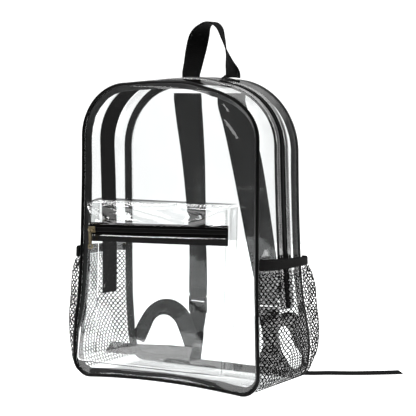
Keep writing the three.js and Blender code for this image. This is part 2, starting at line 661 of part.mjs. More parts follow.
// Webbing from the lock to the bottom corner: shares of the way to the corner, distance behind the lock, share
// of the arch's height, and the lean of its width.
const ARCH_FORM = {
  right: [
    { x: 0.06, y: 3, z: 0.62, across: [-1, 0, 0] },
    { x: 0.1, y: 4, z: 0.34, across: [-1, 0, 0] },
    { x: 0.11, y: 1, z: 0.11, across: [-1, 0, 0] },
    { x: 0.08, y: -7, z: 0.05, across: [-1, 0, 0] },
    { x: 0.07, y: -12, z: 0.16, across: [-1, 0, 0.1] },
    { x: 0.12, y: -13, z: 0.38, across: [-0.95, 0.2, 0.25] },
    { x: 0.19, y: -15, z: 0.62, across: [-0.85, 0.3, 0.45] },
    { x: 0.3, y: -17, z: 0.84, across: [-0.6, 0.5, 0.6] },
    { x: 0.48, y: -19, z: 0.97, across: [-0.15, 0.7, 0.7] },
    { x: 0.68, y: -22, z: 0.97, across: [0.2, 0.7, 0.65] },
    { x: 0.85, y: -25, z: 0.82, across: [0.5, 0.5, 0.6] },
    { x: 0.95, y: -29, z: 0.6, across: [0.7, -0.1, 0.4] },
  ],
  left: [
    { x: 0.03, y: 4, z: 0.62, across: [-1, 0, 0] },
    { x: 0.06, y: 6, z: 0.34, across: [-1, 0, 0] },
    { x: 0.07, y: 2, z: 0.11, across: [-1, 0, 0] },
    { x: 0.02, y: -7, z: 0.05, across: [-1, 0, 0] },
    { x: -0.03, y: -12, z: 0.16, across: [-1, 0, 0.1] },
    { x: 0.0, y: -13, z: 0.36, across: [-0.95, 0.2, 0.25] },
    { x: 0.08, y: -14, z: 0.62, across: [-0.85, 0.3, 0.5] },
    { x: 0.2, y: -14, z: 0.87, across: [-0.55, 0.4, 0.75] },
    { x: 0.4, y: -14, z: 1.0, across: [-0.1, 0.45, 0.9] },
    { x: 0.6, y: -14, z: 0.99, across: [0.2, 0.45, 0.9] },
    { x: 0.78, y: -14, z: 0.87, across: [0.6, 0.35, 0.7] },
    { x: 0.92, y: -15, z: 0.63, across: [0.85, 0.15, 0.4] },
  ],
};

function webbing(side) {
  const { place, across } = lockFrame(side);
  const flip = v3(side, 1, 1);
  const over = LOCK_BAR / 2 + GAP + WEBBING_THICKNESS / 2;
  const start = place(0, WRAP, -LOCK_HEIGHT / 2);
  const back = place(0, -WRAP, -LOCK_HEIGHT / 2);
  const right = side > 0;
  const reach = right ? TAIL_REACH : -TAIL_REACH_LEFT;
  const far = right ? TAIL_BACK : TAIL_BACK_LEFT;
  const end = right ? "right" : "left";
  const tail = TAIL_FORM[end].map((row) => ({
    at: v3(lerp(start.x, reach, row.x), lerp(start.y, far, row.y), row.fall * start.z + row.rest),
    across: v3(...row.across),
  }));
  const through = [
    [WRAP, -LOCK_HEIGHT / 2 - 4], [WRAP, -LOCK_HEIGHT / 2 + 2], [WRAP, -1], [WRAP, 0.8], [WRAP * 0.85, over - 0.2],
    [0.9, over + 0.7], [-0.9, over + 0.7],
    [-WRAP * 0.85, over - 0.2], [-WRAP, 0.8], [-WRAP, -1], [-WRAP, -LOCK_HEIGHT / 2 + 2], [-WRAP, -LOCK_HEIGHT / 2 - 4],
  ].map(([d, h]) => ({ at: place(0, d, h), across }));
  const turn = right ? THREE.MathUtils.degToRad(ANCHOR_TURN) : 0;
  const clear = BINDING_THICKNESS / 2 + GAP + WEBBING_THICKNESS + (Math.sin(turn) * WEBBING_WIDTH) / 2;
  const corner = v3(
    side * (halfWidth(SEAMS.rear, ANCHOR_HEIGHT) - ANCHOR_INSET),
    SEAMS.rear.depth(ANCHOR_HEIGHT) + clear,
    ANCHOR_HEIGHT,
  );
  const arch = ARCH_FORM[end].map((row) => ({
    at: v3(lerp(back.x, corner.x, row.x), back.y + row.y, row.z * ARCH_HEIGHT),
    across: v3(...row.across).multiply(flip),
  }));
  arch.push({ at: corner, across: v3(Math.cos(turn), -Math.sin(turn), 0.1).multiply(flip) });
  if (right) for (const row of arch) row.across.negate();
  return ribbon([...tail.reverse(), ...through, ...arch], WEBBING_WIDTH, WEBBING_THICKNESS, 100);
}

// Turns a closed shape into a solid that can be joined and cut, and back.
function toSolid(shape) {
  const bare = shape.clone();
  bare.deleteAttribute("normal");
  bare.deleteAttribute("uv");
  const merged = mergeVertices(bare, 1e-4);
  const vertProperties = new Float32Array(merged.attributes.position.array);
  const triVerts = new Uint32Array(merged.index.array);
  return new wasm.Manifold(new wasm.Mesh({ numProp: 3, vertProperties, triVerts }));
}
function toShape(solid) {
  const mesh = solid.getMesh();
  const shape = new THREE.BufferGeometry();
  shape.setAttribute("position", new THREE.BufferAttribute(new Float32Array(mesh.vertProperties), 3));
  shape.setIndex(new THREE.BufferAttribute(new Uint32Array(mesh.triVerts), 1));
  shape.computeVertexNormals();
  return shape;
}
const union = (...shapes) => toShape(shapes.map(toSolid).reduce((sum, solid) => sum.add(solid)));
const cut = (shape, tool) => toShape(toSolid(shape).subtract(toSolid(tool)));

const flatPoints = (points) => points.map(([x, y]) => new THREE.Vector2(x, y));

// A zip slider: a plate over the coil, and a bridge that runs the way it travels. Travel on X, top on Z.
const BRIDGE_BEVEL = 1;
const BRIDGE_FOOT = SLIDER_LENGTH / 2 - 1.3;
const BRIDGE_TOP = SLIDER_PLATE + BRIDGE_HEIGHT;
const BAR_HEIGHT = BRIDGE_TOP - BRIDGE_THICKNESS / 2;
function sliderShape() {
  const plate = new THREE.BoxGeometry(SLIDER_LENGTH, SLIDER_WIDTH, SLIDER_PLATE);
  plate.translate(0, 0, SLIDER_PLATE / 2);
  const foot = SLIDER_PLATE / 2;
  const arch = (x, top) => [
    [-x, foot],
    [x, foot],
    [x, top - BRIDGE_BEVEL],
    [x - BRIDGE_BEVEL, top],
    [BRIDGE_BEVEL - x, top],
    [-x, top - BRIDGE_BEVEL],
  ];
  const outline = new THREE.Shape(flatPoints(arch(BRIDGE_FOOT, BRIDGE_TOP)));
  const eye = arch(BRIDGE_FOOT - BRIDGE_THICKNESS, BRIDGE_TOP - BRIDGE_THICKNESS);
  eye[0][1] = eye[1][1] = SLIDER_PLATE * 0.8;
  outline.holes.push(new THREE.Path(flatPoints(eye)));
  const bridge = new THREE.ExtrudeGeometry(outline, { depth: BRIDGE_WIDTH, bevelEnabled: false });
  bridge.translate(0, 0, -BRIDGE_WIDTH / 2);
  bridge.rotateX(Math.PI / 2);
  return union(plate, bridge);
}

// A pull: a wire eye round the bridge, a flat tab along -Y and a ring at its foot.
function pullShape() {
  const half = PULL_WIDTH / 2;
  const ringY = PULL_RING - PULL_LENGTH;
  const top = -PULL_EYE;
  const outline = new THREE.Shape(flatPoints([[-half, top], [-half * 0.8, ringY], [half * 0.8, ringY], [half, top]]));
  const flat = { depth: PULL_THICKNESS, bevelEnabled: false, curveSegments: 6 };
  const tab = new THREE.ExtrudeGeometry(outline, flat);
  const disc = new THREE.Shape();
  disc.absarc(0, ringY, PULL_RING, 0, Math.PI * 2, false);
  const ring = new THREE.ExtrudeGeometry(disc, flat);
  const eye = new THREE.TorusGeometry(PULL_EYE, PULL_WIRE, 6, 12);
  eye.rotateY(Math.PI / 2);
  for (const shape of [tab, ring]) shape.translate(0, 0, -PULL_THICKNESS / 2);
  return { body: union(tab, ring, eye), ringY };
}

// Cuts the hole through the ring at a pull's foot.
function drill({ body, ringY }) {
  const drillBit = new THREE.CylinderGeometry(PULL_RING_HOLE, PULL_RING_HOLE, 3 * PULL_THICKNESS, 16);
  drillBit.rotateX(Math.PI / 2);
  drillBit.translate(0, ringY, 0);
  return cut(body, drillBit);
}

// A frame on a zip: origin, travel direction and outward direction.
function zipFrame(at, travel, out) {
  const x = travel.clone().normalize();
  const z = out.clone().addScaledVector(x, -out.dot(x)).normalize();
  return new THREE.Matrix4().makeBasis(x, z.clone().cross(x), z).setPosition(at);
}

// Main slider: on the coil where the seam passes MAIN_SLIDER_X.
function mainZipFrame() {
  let i = LAST_SIDE;
  const across = (k) => gussetPoint(k, zipPlace(k), 0).x;
  while (across(i + 1) > MAIN_SLIDER_X) i++;
  const [a, b] = [across(i), across(i + 1)];
  const t = (MAIN_SLIDER_X - a) / (b - a);
  const off = COIL_OFF + COIL_HEIGHT / 2 + 2 * GAP; // its plate is straight and the seam curves
  const near = gussetPoint(i, zipPlace(i), off);
  const far = gussetPoint(i + 1, zipPlace(i + 1), off);
  const out = FRONT[i].out.clone().add(FRONT[i + 1].out);
  return zipFrame(near.clone().lerp(far, t), near.sub(far), out);
}

// Pocket slider: near the left end of the pocket's zip.
const POCKET_TAPE_OFF = -WALL / 2 - GAP - TAPE_THICKNESS / 2;
const POCKET_COIL_OFF = POCKET_TAPE_OFF + TAPE_THICKNESS / 2 + GAP + COIL_HEIGHT / 2;
function pocketZipFrame() {
  const off = POCKET_COIL_OFF + COIL_HEIGHT / 2 + GAP;
  const share = POCKET_SLIDER_INSET / POCKET_WIDTH;
  const point = (t) => pocketPoint(t, POCKET_ZIP_HEIGHT + POCKET_ZIP_SLOPE * t, 1, off);
  return zipFrame(point(share), point(share + 0.05).sub(point(share)), v3(0, -1, 0));
}

const PULL_REST = THREE.MathUtils.degToRad(174); // the main pull lies back on the gusset

const object = new THREE.Group();
function add(name, shape, material) {
  const mesh = new THREE.Mesh(shape, new THREE.MeshStandardMaterial(material));
  mesh.name = name;
  object.add(mesh);
  return mesh;
}
const VINYL = { color: "#f0f4f5", roughness: 0.08, metalness: 0, transparent: true, opacity: 0.35 };
const CLOTH = { color: "#0b0b0c", roughness: 0.85, metalness: 0 };
const PIPING = { color: "#08080a", roughness: 0.35, metalness: 0 };
const NET = { color: "#101012", roughness: 0.8, metalness: 0 };
const PLASTIC = { color: "#0c0c0d", roughness: 0.45, metalness: 0 };
const GUNMETAL = { color: "#3c3c40", roughness: 0.35, metalness: 1 };
const BRASS = { color: "#b49a6a", roughness: 0.35, metalness: 1 };

add("front_panel", panel(SEAMS.front, FRONT, PIPING_RADIUS + GAP), VINYL);
add("back_panel", panel(SEAMS.rear, REAR, BINDING_WIDTH - BINDING_LIP + GAP), VINYL);
const puffed = (i, t) => rise(t) * PUFF;
add("gusset_front", gussetStrip(SEAM_ABOVE, FAR_SEAM, frontEdge, slotFront, WALL, puffed, 4), VINYL);
add("gusset_rear", gussetStrip(SEAM_ABOVE, FAR_SEAM, slotRear, rearEdge, WALL, puffed, 4), VINYL);
add("base_gusset", baseGusset(), VINYL);
add("front_piping", trim(FRONT, 1, roundSection(PIPING_RADIUS, 6)), PIPING);
const inner = BINDING_LIP - BINDING_WIDTH;
const half = BINDING_THICKNESS / 2;
const bindingSection = [[inner, -half], [BINDING_LIP, -half], [BINDING_LIP, half], [inner, half]];
add("rear_binding", trim(REAR, -1, bindingSection), CLOTH);
// The seam tape slants into the bag at 45 degrees, and its near edge touches the piping.
const tapeSkew = SEAM_TAPE_THICKNESS * Math.SQRT1_2;
const tapeNear = (tapeSkew + Math.sqrt(2 * (PIPING_RADIUS + GAP) ** 2 - tapeSkew ** 2)) / 2;
const tapeFar = tapeNear + SEAM_TAPE_WIDTH * Math.SQRT1_2;
const seamTapeSection = [
  [-tapeNear, tapeNear - tapeSkew],
  [-tapeNear + tapeSkew, tapeNear],
  [-tapeFar + tapeSkew, tapeFar],
  [-tapeFar, tapeFar - tapeSkew],
];
add("front_seam_tape", trim(FRONT, 1, seamTapeSection), CLOTH);
function zipStrip(width, thickness, off) {
  const [from, to] = [-1, 1].map((s) => (i) => tapeShare(i, (s * width) / 2));
  return gussetStrip(SEAM_ABOVE, FAR_SEAM, from, to, thickness, () => off, 2);
}
add("main_zip_tape", zipStrip(TAPE_WIDTH, TAPE_THICKNESS, TAPE_OFF), CLOTH);
add("main_zip_coil", zipStrip(COIL_WIDTH, COIL_HEIGHT, COIL_OFF), PLASTIC);
const sliderOn = (frame) => sliderShape().applyMatrix4(frame);
const pullOn = (frame, turn) => {
  const shape = drill(pullShape());
  shape.rotateX(turn);
  shape.translate(0, 0, BAR_HEIGHT);
  return shape.applyMatrix4(frame);
};
add("main_slider", sliderOn(mainZipFrame()), GUNMETAL);
add("main_pull", pullOn(mainZipFrame(), PULL_REST), GUNMETAL);

const faceRows = [0.02, 0.035, 0.07, 0.18, 0.32, 0.48, 0.64].map((h) => POCKET_BOTTOM + h * POCKET_HEIGHT);
const faceReach = [0.35, 0.75, 1, 1, 1, 1, 1];
add("pocket_face", pocketSheet([...faceRows.map((z, k) => [z, faceReach[k]]), [ZIP_LOW, 1]], WALL), VINYL);
const hemRows = [[8, 1], [4, 0.8], [1.2, 0.4], [0, 0]].map(([below, reach]) => [POCKET_TOP - below, reach]);
add("pocket_upper", pocketSheet([[ZIP_HIGH, 1], [lerp(ZIP_HIGH, POCKET_TOP, 0.45), 1], ...hemRows], WALL), VINYL);
add("pocket_side_left", pocketSide(0), VINYL);
add("pocket_side_right", pocketSide(1), VINYL);
const zipRows = (low, high) => [low, POCKET_ZIP_HEIGHT, high].map((z) => [z, 1]);
const tapeRows = zipRows(ZIP_LOW - POCKET_TAPE_BELOW, ZIP_HIGH + POCKET_TAPE_ABOVE);
add("pocket_zip_tape", pocketSheet(tapeRows, TAPE_THICKNESS, POCKET_TAPE_OFF), CLOTH);
const coilRows = zipRows(POCKET_ZIP_HEIGHT - COIL_WIDTH / 2, POCKET_ZIP_HEIGHT + COIL_WIDTH / 2);
add("pocket_zip_coil", pocketSheet(coilRows, COIL_HEIGHT, POCKET_COIL_OFF), PLASTIC);
add("pocket_slider", sliderOn(pocketZipFrame()), BRASS);
add("pocket_pull", pullOn(pocketZipFrame(), 0), BRASS);

for (const [side, end, swell] of [[-1, "left", NET_SWELL_LEFT], [1, "right", NET_SWELL_RIGHT]]) {
  add(`net_pocket_${end}`, netPocket(side, swell), NET);
  add(`net_mouth_${end}`, netMouth(side, swell), CLOTH);
  add(`shoulder_strap_${end}`, ribbon(strapRoute(side), STRAP_WIDTH, STRAP_THICKNESS, 24), CLOTH);
  add(`ladder_lock_${end}`, lockShape(side), PLASTIC);
  add(`lock_keeper_${end}`, keeper(side), CLOTH);
  add(`strap_webbing_${end}`, webbing(side), CLOTH);
}
add("handle", handle(), CLOTH);

export default object;
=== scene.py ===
import math

import bmesh
import bpy
import numpy as np
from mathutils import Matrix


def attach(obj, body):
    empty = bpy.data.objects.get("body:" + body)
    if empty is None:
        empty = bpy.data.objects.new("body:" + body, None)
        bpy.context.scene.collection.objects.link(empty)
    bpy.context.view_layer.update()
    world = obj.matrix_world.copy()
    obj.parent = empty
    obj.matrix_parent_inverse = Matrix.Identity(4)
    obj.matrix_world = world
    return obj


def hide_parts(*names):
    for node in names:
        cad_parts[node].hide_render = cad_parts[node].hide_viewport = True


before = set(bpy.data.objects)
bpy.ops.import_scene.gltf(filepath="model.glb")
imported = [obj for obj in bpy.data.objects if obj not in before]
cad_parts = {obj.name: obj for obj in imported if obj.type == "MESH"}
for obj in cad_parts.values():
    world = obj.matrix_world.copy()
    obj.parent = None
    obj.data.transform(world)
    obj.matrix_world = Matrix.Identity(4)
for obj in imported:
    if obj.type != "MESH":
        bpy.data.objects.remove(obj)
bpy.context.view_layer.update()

# Sizes in millimetres, the same as the solids'.
HEIGHT = 427.5
BASE_WIDTH = 306.0
BASE_DEPTH = 142.0
PIPING_RADIUS = 2.4
FRONT_DROP = 8.5
FRONT_TOP_RADIUS = 75.0
REAR_TOP_RADIUS = 100.0
BOTTOM_RADIUS = 26.0
BOTTOM_BOW = 5.7
TOP_CROWN = 3.0
SHOULDER_SAG = 11.0
SAG_START = 20.0
SAG_LENGTH = 80.0
FADE = 60.0
SIDE_SEAM_HEIGHT = 110.0
WALL = 1.0
GAP = 0.3
VINYL = 0.7  # thickness of the clear sheet that shows
BINDING_WIDTH = 11.5
BINDING_THICKNESS = 3.0
BINDING_LIP = 1.5
SEAM_TAPE_WIDTH = 10.0
SEAM_TAPE_THICKNESS = 1.4
ZIP_PLACE_TOP = 0.55
ZIP_PLACE_SIDE = 0.63
TAPE_WIDTH = 36.0
TAPE_THICKNESS = 1.2
COIL_WIDTH = 6.0
COIL_HEIGHT = 2.0
ZIP_SLOT = 13.0
HEM_WIDTH = 9.5
POCKET_WIDTH = 230.0
POCKET_BOTTOM = 22.0
POCKET_TOP = 258.0
POCKET_DEPTH_LEFT = 38.0
POCKET_DEPTH_RIGHT = 23.0
POCKET_SWELL = 5.0
POCKET_ZIP_HEIGHT = 216.5
POCKET_ZIP_SLOPE = 6.0
POCKET_ZIP_SLOT = 14.0
POCKET_TAPE_BELOW = 9.5
POCKET_TAPE_ABOVE = 3.0
POCKET_SLOPE_REACH = 46.0
POCKET_CORNER = 2.5
NET_THICKNESS = 1.0
NET_TOP = 168.0
NET_FOOT = 10.0
NET_START = 0.0
NET_END = 1.009
NET_SWELL = {-1: 30.0, 1: 36.0}
NET_ROUNDNESS = 2.6
NET_LEAN = 0.54
NET_CELL = 7.0  # width and height of one mesh
NET_HOLE = 0.72  # share of a cell that is open, in each direction
NET_THREAD = 0.5
NET_WIDEST = 110.0  # height at which the cells are counted
MOUTH_HEIGHT = 14.5
MOUTH_THICKNESS = 2.4
MOUTH_TILT = 6.0
MOUTH_FULL = 0.5
HANDLE_WIDTH = 30.0
HANDLE_THICKNESS = 2.0
HANDLE_LEFT = -29.0
HANDLE_RIGHT = 41.0
HANDLE_RISE = 77.0
STRAP_WIDTH = 46.0
STRAP_THICKNESS = 4.0
STRAP_TOP = 406.0
STRAP_END = 104.0
STRAP_SPACING = 37.0
STRAP_HANG = 48.0
STRAP_YAW = {-1: -14.0, 1: 25.0}
STRAP_DRIFT = {-1: (0.0, 0.0), 1: (16.0, 12.0)}
WEBBING_WIDTH = 25.0
WEBBING_THICKNESS = 1.5
LOCK_HEIGHT = 24.0
LOCK_THICKNESS = 4.0
LOCK_BAR = 3.5
LOCK_DROP = 15.0
KEEPER_LAP = 11.0
ARCH_HEIGHT = 83.0
ANCHOR_HEIGHT = 30.0
ANCHOR_INSET = 11.0
ANCHOR_TURN = {-1: 0.0, 1: 45.0}
TAIL_REACH = {-1: -215.0, 1: 243.0}
TAIL_BACK = {-1: 98.0, 1: 188.0}
STITCH_LENGTH = 2.3
STITCH_PITCH = 3.3
STITCH_RADIUS = 0.32


def lerp(a, b, t):
    return a + (b - a) * t


def ease(t):
    t = np.clip(t, 0.0, 1.0)
    return t * t * (3 - 2 * t)


def unit(v):
    return v / np.maximum(np.linalg.norm(v, axis=-1, keepdims=True), 1e-9)


def track(xs, ys):
    """A smooth curve through points that never overshoots them."""
    xs, ys = np.array(xs, float), np.array(ys, float)
    step = np.diff(xs)
    slope = np.diff(ys) / step
    m = np.zeros_like(ys)
    m[0], m[-1] = slope[0], slope[-1]
    for k in range(1, len(ys) - 1):
        a, b = slope[k - 1], slope[k]
        if a * b > 0:
            wa, wb = 2 * step[k] + step[k - 1], step[k] + 2 * step[k - 1]
            m[k] = (wa + wb) / (wa / a + wb / b)

    def at(x):
        x = np.clip(x, xs[0], xs[-1])
        k = np.clip(np.searchsorted(xs, x, side="right") - 1, 0, len(xs) - 2)
        t = (x - xs[k]) / step[k]
        low = (1 + 2 * t) * (1 - t) ** 2 * ys[k] + t * (1 - t) ** 2 * step[k] * m[k]
        high = t * t * (3 - 2 * t) * ys[k + 1] + t * t * (t - 1) * step[k] * m[k + 1]
        return low + high

    return at


def columns(rows):
    """One smooth curve for each column after the first, which is the place."""
    table = np.array(rows, float).T
    return [track(table[0], column) for column in table[1:]]


# Form of the body: height, front half width, front seam, rear half width, rear seam, as shares.
FORM = [
    (0.0, 1.0, 1.017, 0.975, 0.98),
    (0.035, 1.0, 1.017, 0.985, 0.985),
    (0.12, 0.995, 1.011, 1.015, 0.97),
    (0.19, 0.985, 0.99, 1.007, 0.905),
    (0.28, 0.965, 0.93, 0.985, 0.81),
    (0.38, 0.953, 0.901, 0.969, 0.756),
    (0.7, 0.941, 0.838, 0.952, 0.691),
    (1.0, 0.94, 0.82, 0.95, 0.67),
]
front_width, front_depth, rear_width, rear_depth = columns(FORM)
FRONT = {
    "width": front_width, "depth": front_depth, "side": -1, "top": HEIGHT - FRONT_DROP,
    "radius": FRONT_TOP_RADIUS, "bow": BOTTOM_BOW, "sag": SHOULDER_SAG,
}
REAR = {
    "width": rear_width, "depth": rear_depth, "side": 1, "top": HEIGHT - TOP_CROWN,
    "radius": REAR_TOP_RADIUS, "bow": 0.0, "sag": 0.0,
}

# Stations of a seam: along the bottom, round the corner, up the side, round the shoulder, along the top.
BASE_END, CORNER_END, SIDE_END, ARC_END, LAST = 5, 9, 18, 26, 29
COUNT = 2 * LAST
SEAM_BELOW, SEAM_ABOVE = 12, 13
FAR_SEAM = COUNT - SEAM_ABOVE
STEPS = 5  # rows of a sheet from one station to the next


def half_width(seam, z):
    return BASE_WIDTH / 2 * seam["width"](z / HEIGHT)


def seam_depth(seam, z):
    return seam["side"] * BASE_DEPTH / 2 * seam["depth"](z / HEIGHT)


def side_heights(knee, hip):
    lower = [lerp(knee, SIDE_SEAM_HEIGHT, t) for t in (0.35, 0.7)]
    upper = [lerp(SIDE_SEAM_HEIGHT, HEIGHT - REAR_TOP_RADIUS, t) for t in (0.2, 0.4, 0.6, 0.8)]
    return [knee, *lower, SIDE_SEAM_HEIGHT - GAP, SIDE_SEAM_HEIGHT + GAP, *upper, hip]


def outline(seam, s):
    """Points of a seam at stations s, and how far each is lifted off its plain outline."""
    s = np.mod(s, COUNT)
    k = np.where(s <= LAST, s, COUNT - s)
    knee_z = PIPING_RADIUS + BOTTOM_RADIUS
    knee_x = half_width(seam, knee_z) - BOTTOM_RADIUS
    hip_z = seam["top"] - seam["radius"]
    hip_x = half_width(seam, hip_z) - seam["radius"]
    low = np.pi / 2 * (k - BASE_END) / (CORNER_END - BASE_END)
    high = np.pi / 2 * (k - SIDE_END) / (ARC_END - SIDE_END)
    side_z = np.interp(k, np.arange(CORNER_END, SIDE_END + 1), side_heights(knee_z, hip_z))
    spans = [k <= BASE_END, k <= CORNER_END, k <= SIDE_END, k <= ARC_END]
    x = np.select(
        spans,
        [
            knee_x * k / BASE_END, knee_x + BOTTOM_RADIUS * np.sin(low), half_width(seam, side_z),
            hip_x + seam["radius"] * np.cos(high),
        ],
        hip_x * (1 - (k - ARC_END) / (LAST - ARC_END)),
    )
    z = np.select(
        spans,
        [
            np.full_like(k, PIPING_RADIUS), knee_z - BOTTOM_RADIUS * np.cos(low), side_z,
            hip_z + seam["radius"] * np.sin(high),
        ],
        seam["top"],
    )
    x = np.where(s <= LAST, x, -x)
    end = np.where(k <= BASE_END, knee_x, np.where(k >= ARC_END, hip_x, np.inf))
    arch = np.where(np.isfinite(end), 1 - (x / end) ** 2, 0.0)
    lifted = settle(seam, x, z, arch)
    return np.stack([x, seam_depth(seam, z), lifted], -1), lifted - z


def settle(seam, x, z, arch):
    low = np.maximum(0, 1 - (z - PIPING_RADIUS) / FADE)
    high = np.maximum(0, 1 - (seam["top"] - z) / FADE)
    slack = ease((x - SAG_START) / SAG_LENGTH) * ease(1 - (seam["top"] - z) / (1.5 * FADE))
    return z + arch * (seam["bow"] * low + TOP_CROWN * high) - seam["sag"] * slack


def seam_at(seam, s):
    """Points of a seam and the outward directions there."""
    s = np.asarray(s, float)
    at, lift = outline(seam, s)
    ahead = outline(seam, s + 0.2)[0] - outline(seam, s - 0.2)[0]
    zero = np.zeros_like(ahead[..., 0])
    return at, unit(np.stack([ahead[..., 2], zero, -ahead[..., 0]], -1)), lift


def gusset(s, t, off):
    """Points of the gusset: stations s, shares t of its depth, off outwards."""
    s, t, off = np.broadcast_arrays(np.asarray(s, float), t, off)
    a, out_a, _ = seam_at(FRONT, s)
    b, out_b, _ = seam_at(REAR, s)
    share = t[..., None]
    return lerp(a, b, share) + unit(lerp(out_a, out_b, share)) * off[..., None]


def gusset_depth(s):
    return np.linalg.norm(seam_at(FRONT, s)[0] - seam_at(REAR, s)[0], axis=-1)


PUFF = PIPING_RADIUS - WALL / 2
RAMP = 0.14


def puff(t):
    return PUFF * ease(np.minimum(t, 1 - t) / RAMP)


# Meshes
def placed(name, data):
    obj = bpy.data.objects.new(name, data)
    bpy.context.scene.collection.objects.link(obj)
    return obj


def show(name, mesh, material, nodes, body="bag"):
    """Puts a mesh into the scene as a piece that rides on a body and stands for CAD nodes."""
    mesh.materials.append(material)
    obj = placed(name, mesh)
    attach(obj, body)
    if nodes:
        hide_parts(*nodes)
    return obj


def piece(name, shape, material, slot, *nodes, smooth=True):
    """A piece from its vertices in millimetres, its faces and, where it has them, its distances."""
    verts, faces, *uv = shape
    mesh = bpy.data.meshes.new(name)
    mesh.from_pydata((np.asarray(verts) * 0.001).tolist(), [], faces)
    if uv:
        layer = mesh.uv_layers.new(name="UVMap")
        corner = np.zeros(len(mesh.loops), np.int32)
        mesh.loops.foreach_get("vertex_index", corner)
        layer.data.foreach_set("uv", np.asarray(uv[0], np.float32)[corner].ravel())
    mesh.validate()
    if smooth:
        mesh.shade_smooth()
    else:
        mesh.shade_flat()
    return show(name, mesh, material, nodes)


def distances(path):
    """Distance of each point of a path from its start."""
    return np.concatenate([[0], np.cumsum(np.linalg.norm(np.diff(path, axis=0), axis=-1))])


def sample(path, run, place):
    """Values along a path, at places by distance."""
    return np.stack([np.interp(place, run, path[:, c]) for c in range(3)], -1)


def outward(verts, faces):
    """The faces, turned so that a closed mesh has them outwards."""
    verts = np.asarray(verts)
    quads = np.array([f if len(f) == 4 else (*f, f[-1]) for f in faces])
    a, b, c, d = (verts[quads[:, k]] for k in range(4))
    volume = np.einsum("ij,ij->", a, np.cross(b, c)) + np.einsum("ij,ij->", a, np.cross(c, d))
    return faces if volume > 0 else [tuple(reversed(f)) for f in faces]


def along(grid, axis, loop=False):
    if loop:
        return np.roll(grid, -1, axis) - np.roll(grid, 1, axis)
    return np.gradient(grid, axis=axis)


def grid_uv(grid):
    """Distances over a grid in millimetres: along its rows' direction, and across from the middle."""
    step_u = np.linalg.norm(np.diff(grid, axis=0), axis=-1)
    step_v = np.linalg.norm(np.diff(grid, axis=1), axis=-1)
    u = np.concatenate([np.zeros((1, grid.shape[1])), np.cumsum(step_u, 0)])
    u = np.repeat(u[:, [grid.shape[1] // 2]], grid.shape[1], 1)
    v = np.concatenate([np.zeros((grid.shape[0], 1)), np.cumsum(step_v, 1)], 1)
    return np.stack([u, v - v[:, [-1]] / 2], -1)


def slab(grid, thickness, loop=False):
    """A closed sheet whose middle runs through a grid of points: its vertices, faces and distances."""
    rows, cols = grid.shape[:2]
    normal = unit(np.cross(along(grid, 0, loop), along(grid, 1)))
    half = np.broadcast_to(np.asarray(thickness, float) / 2, (rows, cols))[..., None]
    verts = np.concatenate([(grid + normal * half).reshape(-1, 3), (grid - normal * half).reshape(-1, 3)])
    uv = grid_uv(grid).reshape(-1, 2)
    size = rows * cols
    faces = []
    for i in range(rows if loop else rows - 1):
        a, b = i * cols, (i + 1) % rows * cols
        for j in range(cols - 1):
            faces.append((a + j, b + j, b + j + 1, a + j + 1))
            faces.append((size + a + j, size + a + j + 1, size + b + j + 1, size + b + j))
        for j, turn in ((0, 1), (cols - 1, -1)):
            rim = (a + j, size + a + j, size + b + j, b + j)
            faces.append(rim[::turn])
    if not loop:
        for i, turn in ((0, -1), (rows - 1, 1)):
            for j in range(cols - 1):
                a = i * cols + j
                faces.append((a, size + a, size + a + 1, a + 1)[::turn])
    return verts, outward(verts, faces), np.concatenate([uv, uv])


def tube(rings, loop=True):
    """A closed body through rings of points."""
    rings = np.asarray(rings)
    count, size = rings.shape[:2]
    verts = rings.reshape(-1, 3)
    faces = []
    for i in range(count if loop else count - 1):
        a, b = i * size, (i + 1) % count * size
        for j in range(size):
            n = (j + 1) % size
            faces.append((a + j, a + n, b + n, b + j))
    if not loop:
        faces.append(tuple(reversed(range(size))))
        faces.append(tuple(range((count - 1) * size, count * size)))
    spread = np.broadcast_arrays(distances(rings.mean(1))[:, None], distances(rings[0])[None, :])
    uv = np.stack(spread, -1).reshape(-1, 2)
    if loop:
        return verts, outward(verts, faces), uv
    flipped = outward(verts, faces[:-2])
    turned = flipped is not faces[:-2] and flipped[0] != faces[0]
    caps = [tuple(reversed(f)) for f in faces[-2:]] if turned else faces[-2:]
    return verts, flipped + caps, uv


def trim(seam, section, s, wobble=0.0):
    """A tube round a whole seam, of a section given as (outwards, into the bag)."""
    at, out, _ = seam_at(seam, s)
    inward = np.array([0.0, -seam["side"], 0.0])
    sway = 1 + wobble * (np.sin(s * 2.3) + 0.6 * np.sin(s * 5.1 + 1.0))
    section = np.asarray(section, float)
    rings = (
        at[:, None]
        + out[:, None] * (section[None, :, :1] * sway[:, None, None])
        + inward * (section[None, :, 1:] * sway[:, None, None])
    )
    return tube(rings)


def rounded(half_a, half_b, corner, middle=(0.0, 0.0), steps=3):
    """Section of a rounded rectangle."""
    points = []
    for quarter, (sa, sb) in enumerate(((1, 1), (-1, 1), (-1, -1), (1, -1))):
        for k in range(steps + 1):
            a = math.pi / 2 * (quarter + k / steps)
            points.append((
                middle[0] + sa * (half_a - corner) + corner * math.cos(a),
                middle[1] + sb * (half_b - corner) + corner * math.sin(a),
            ))
    return points


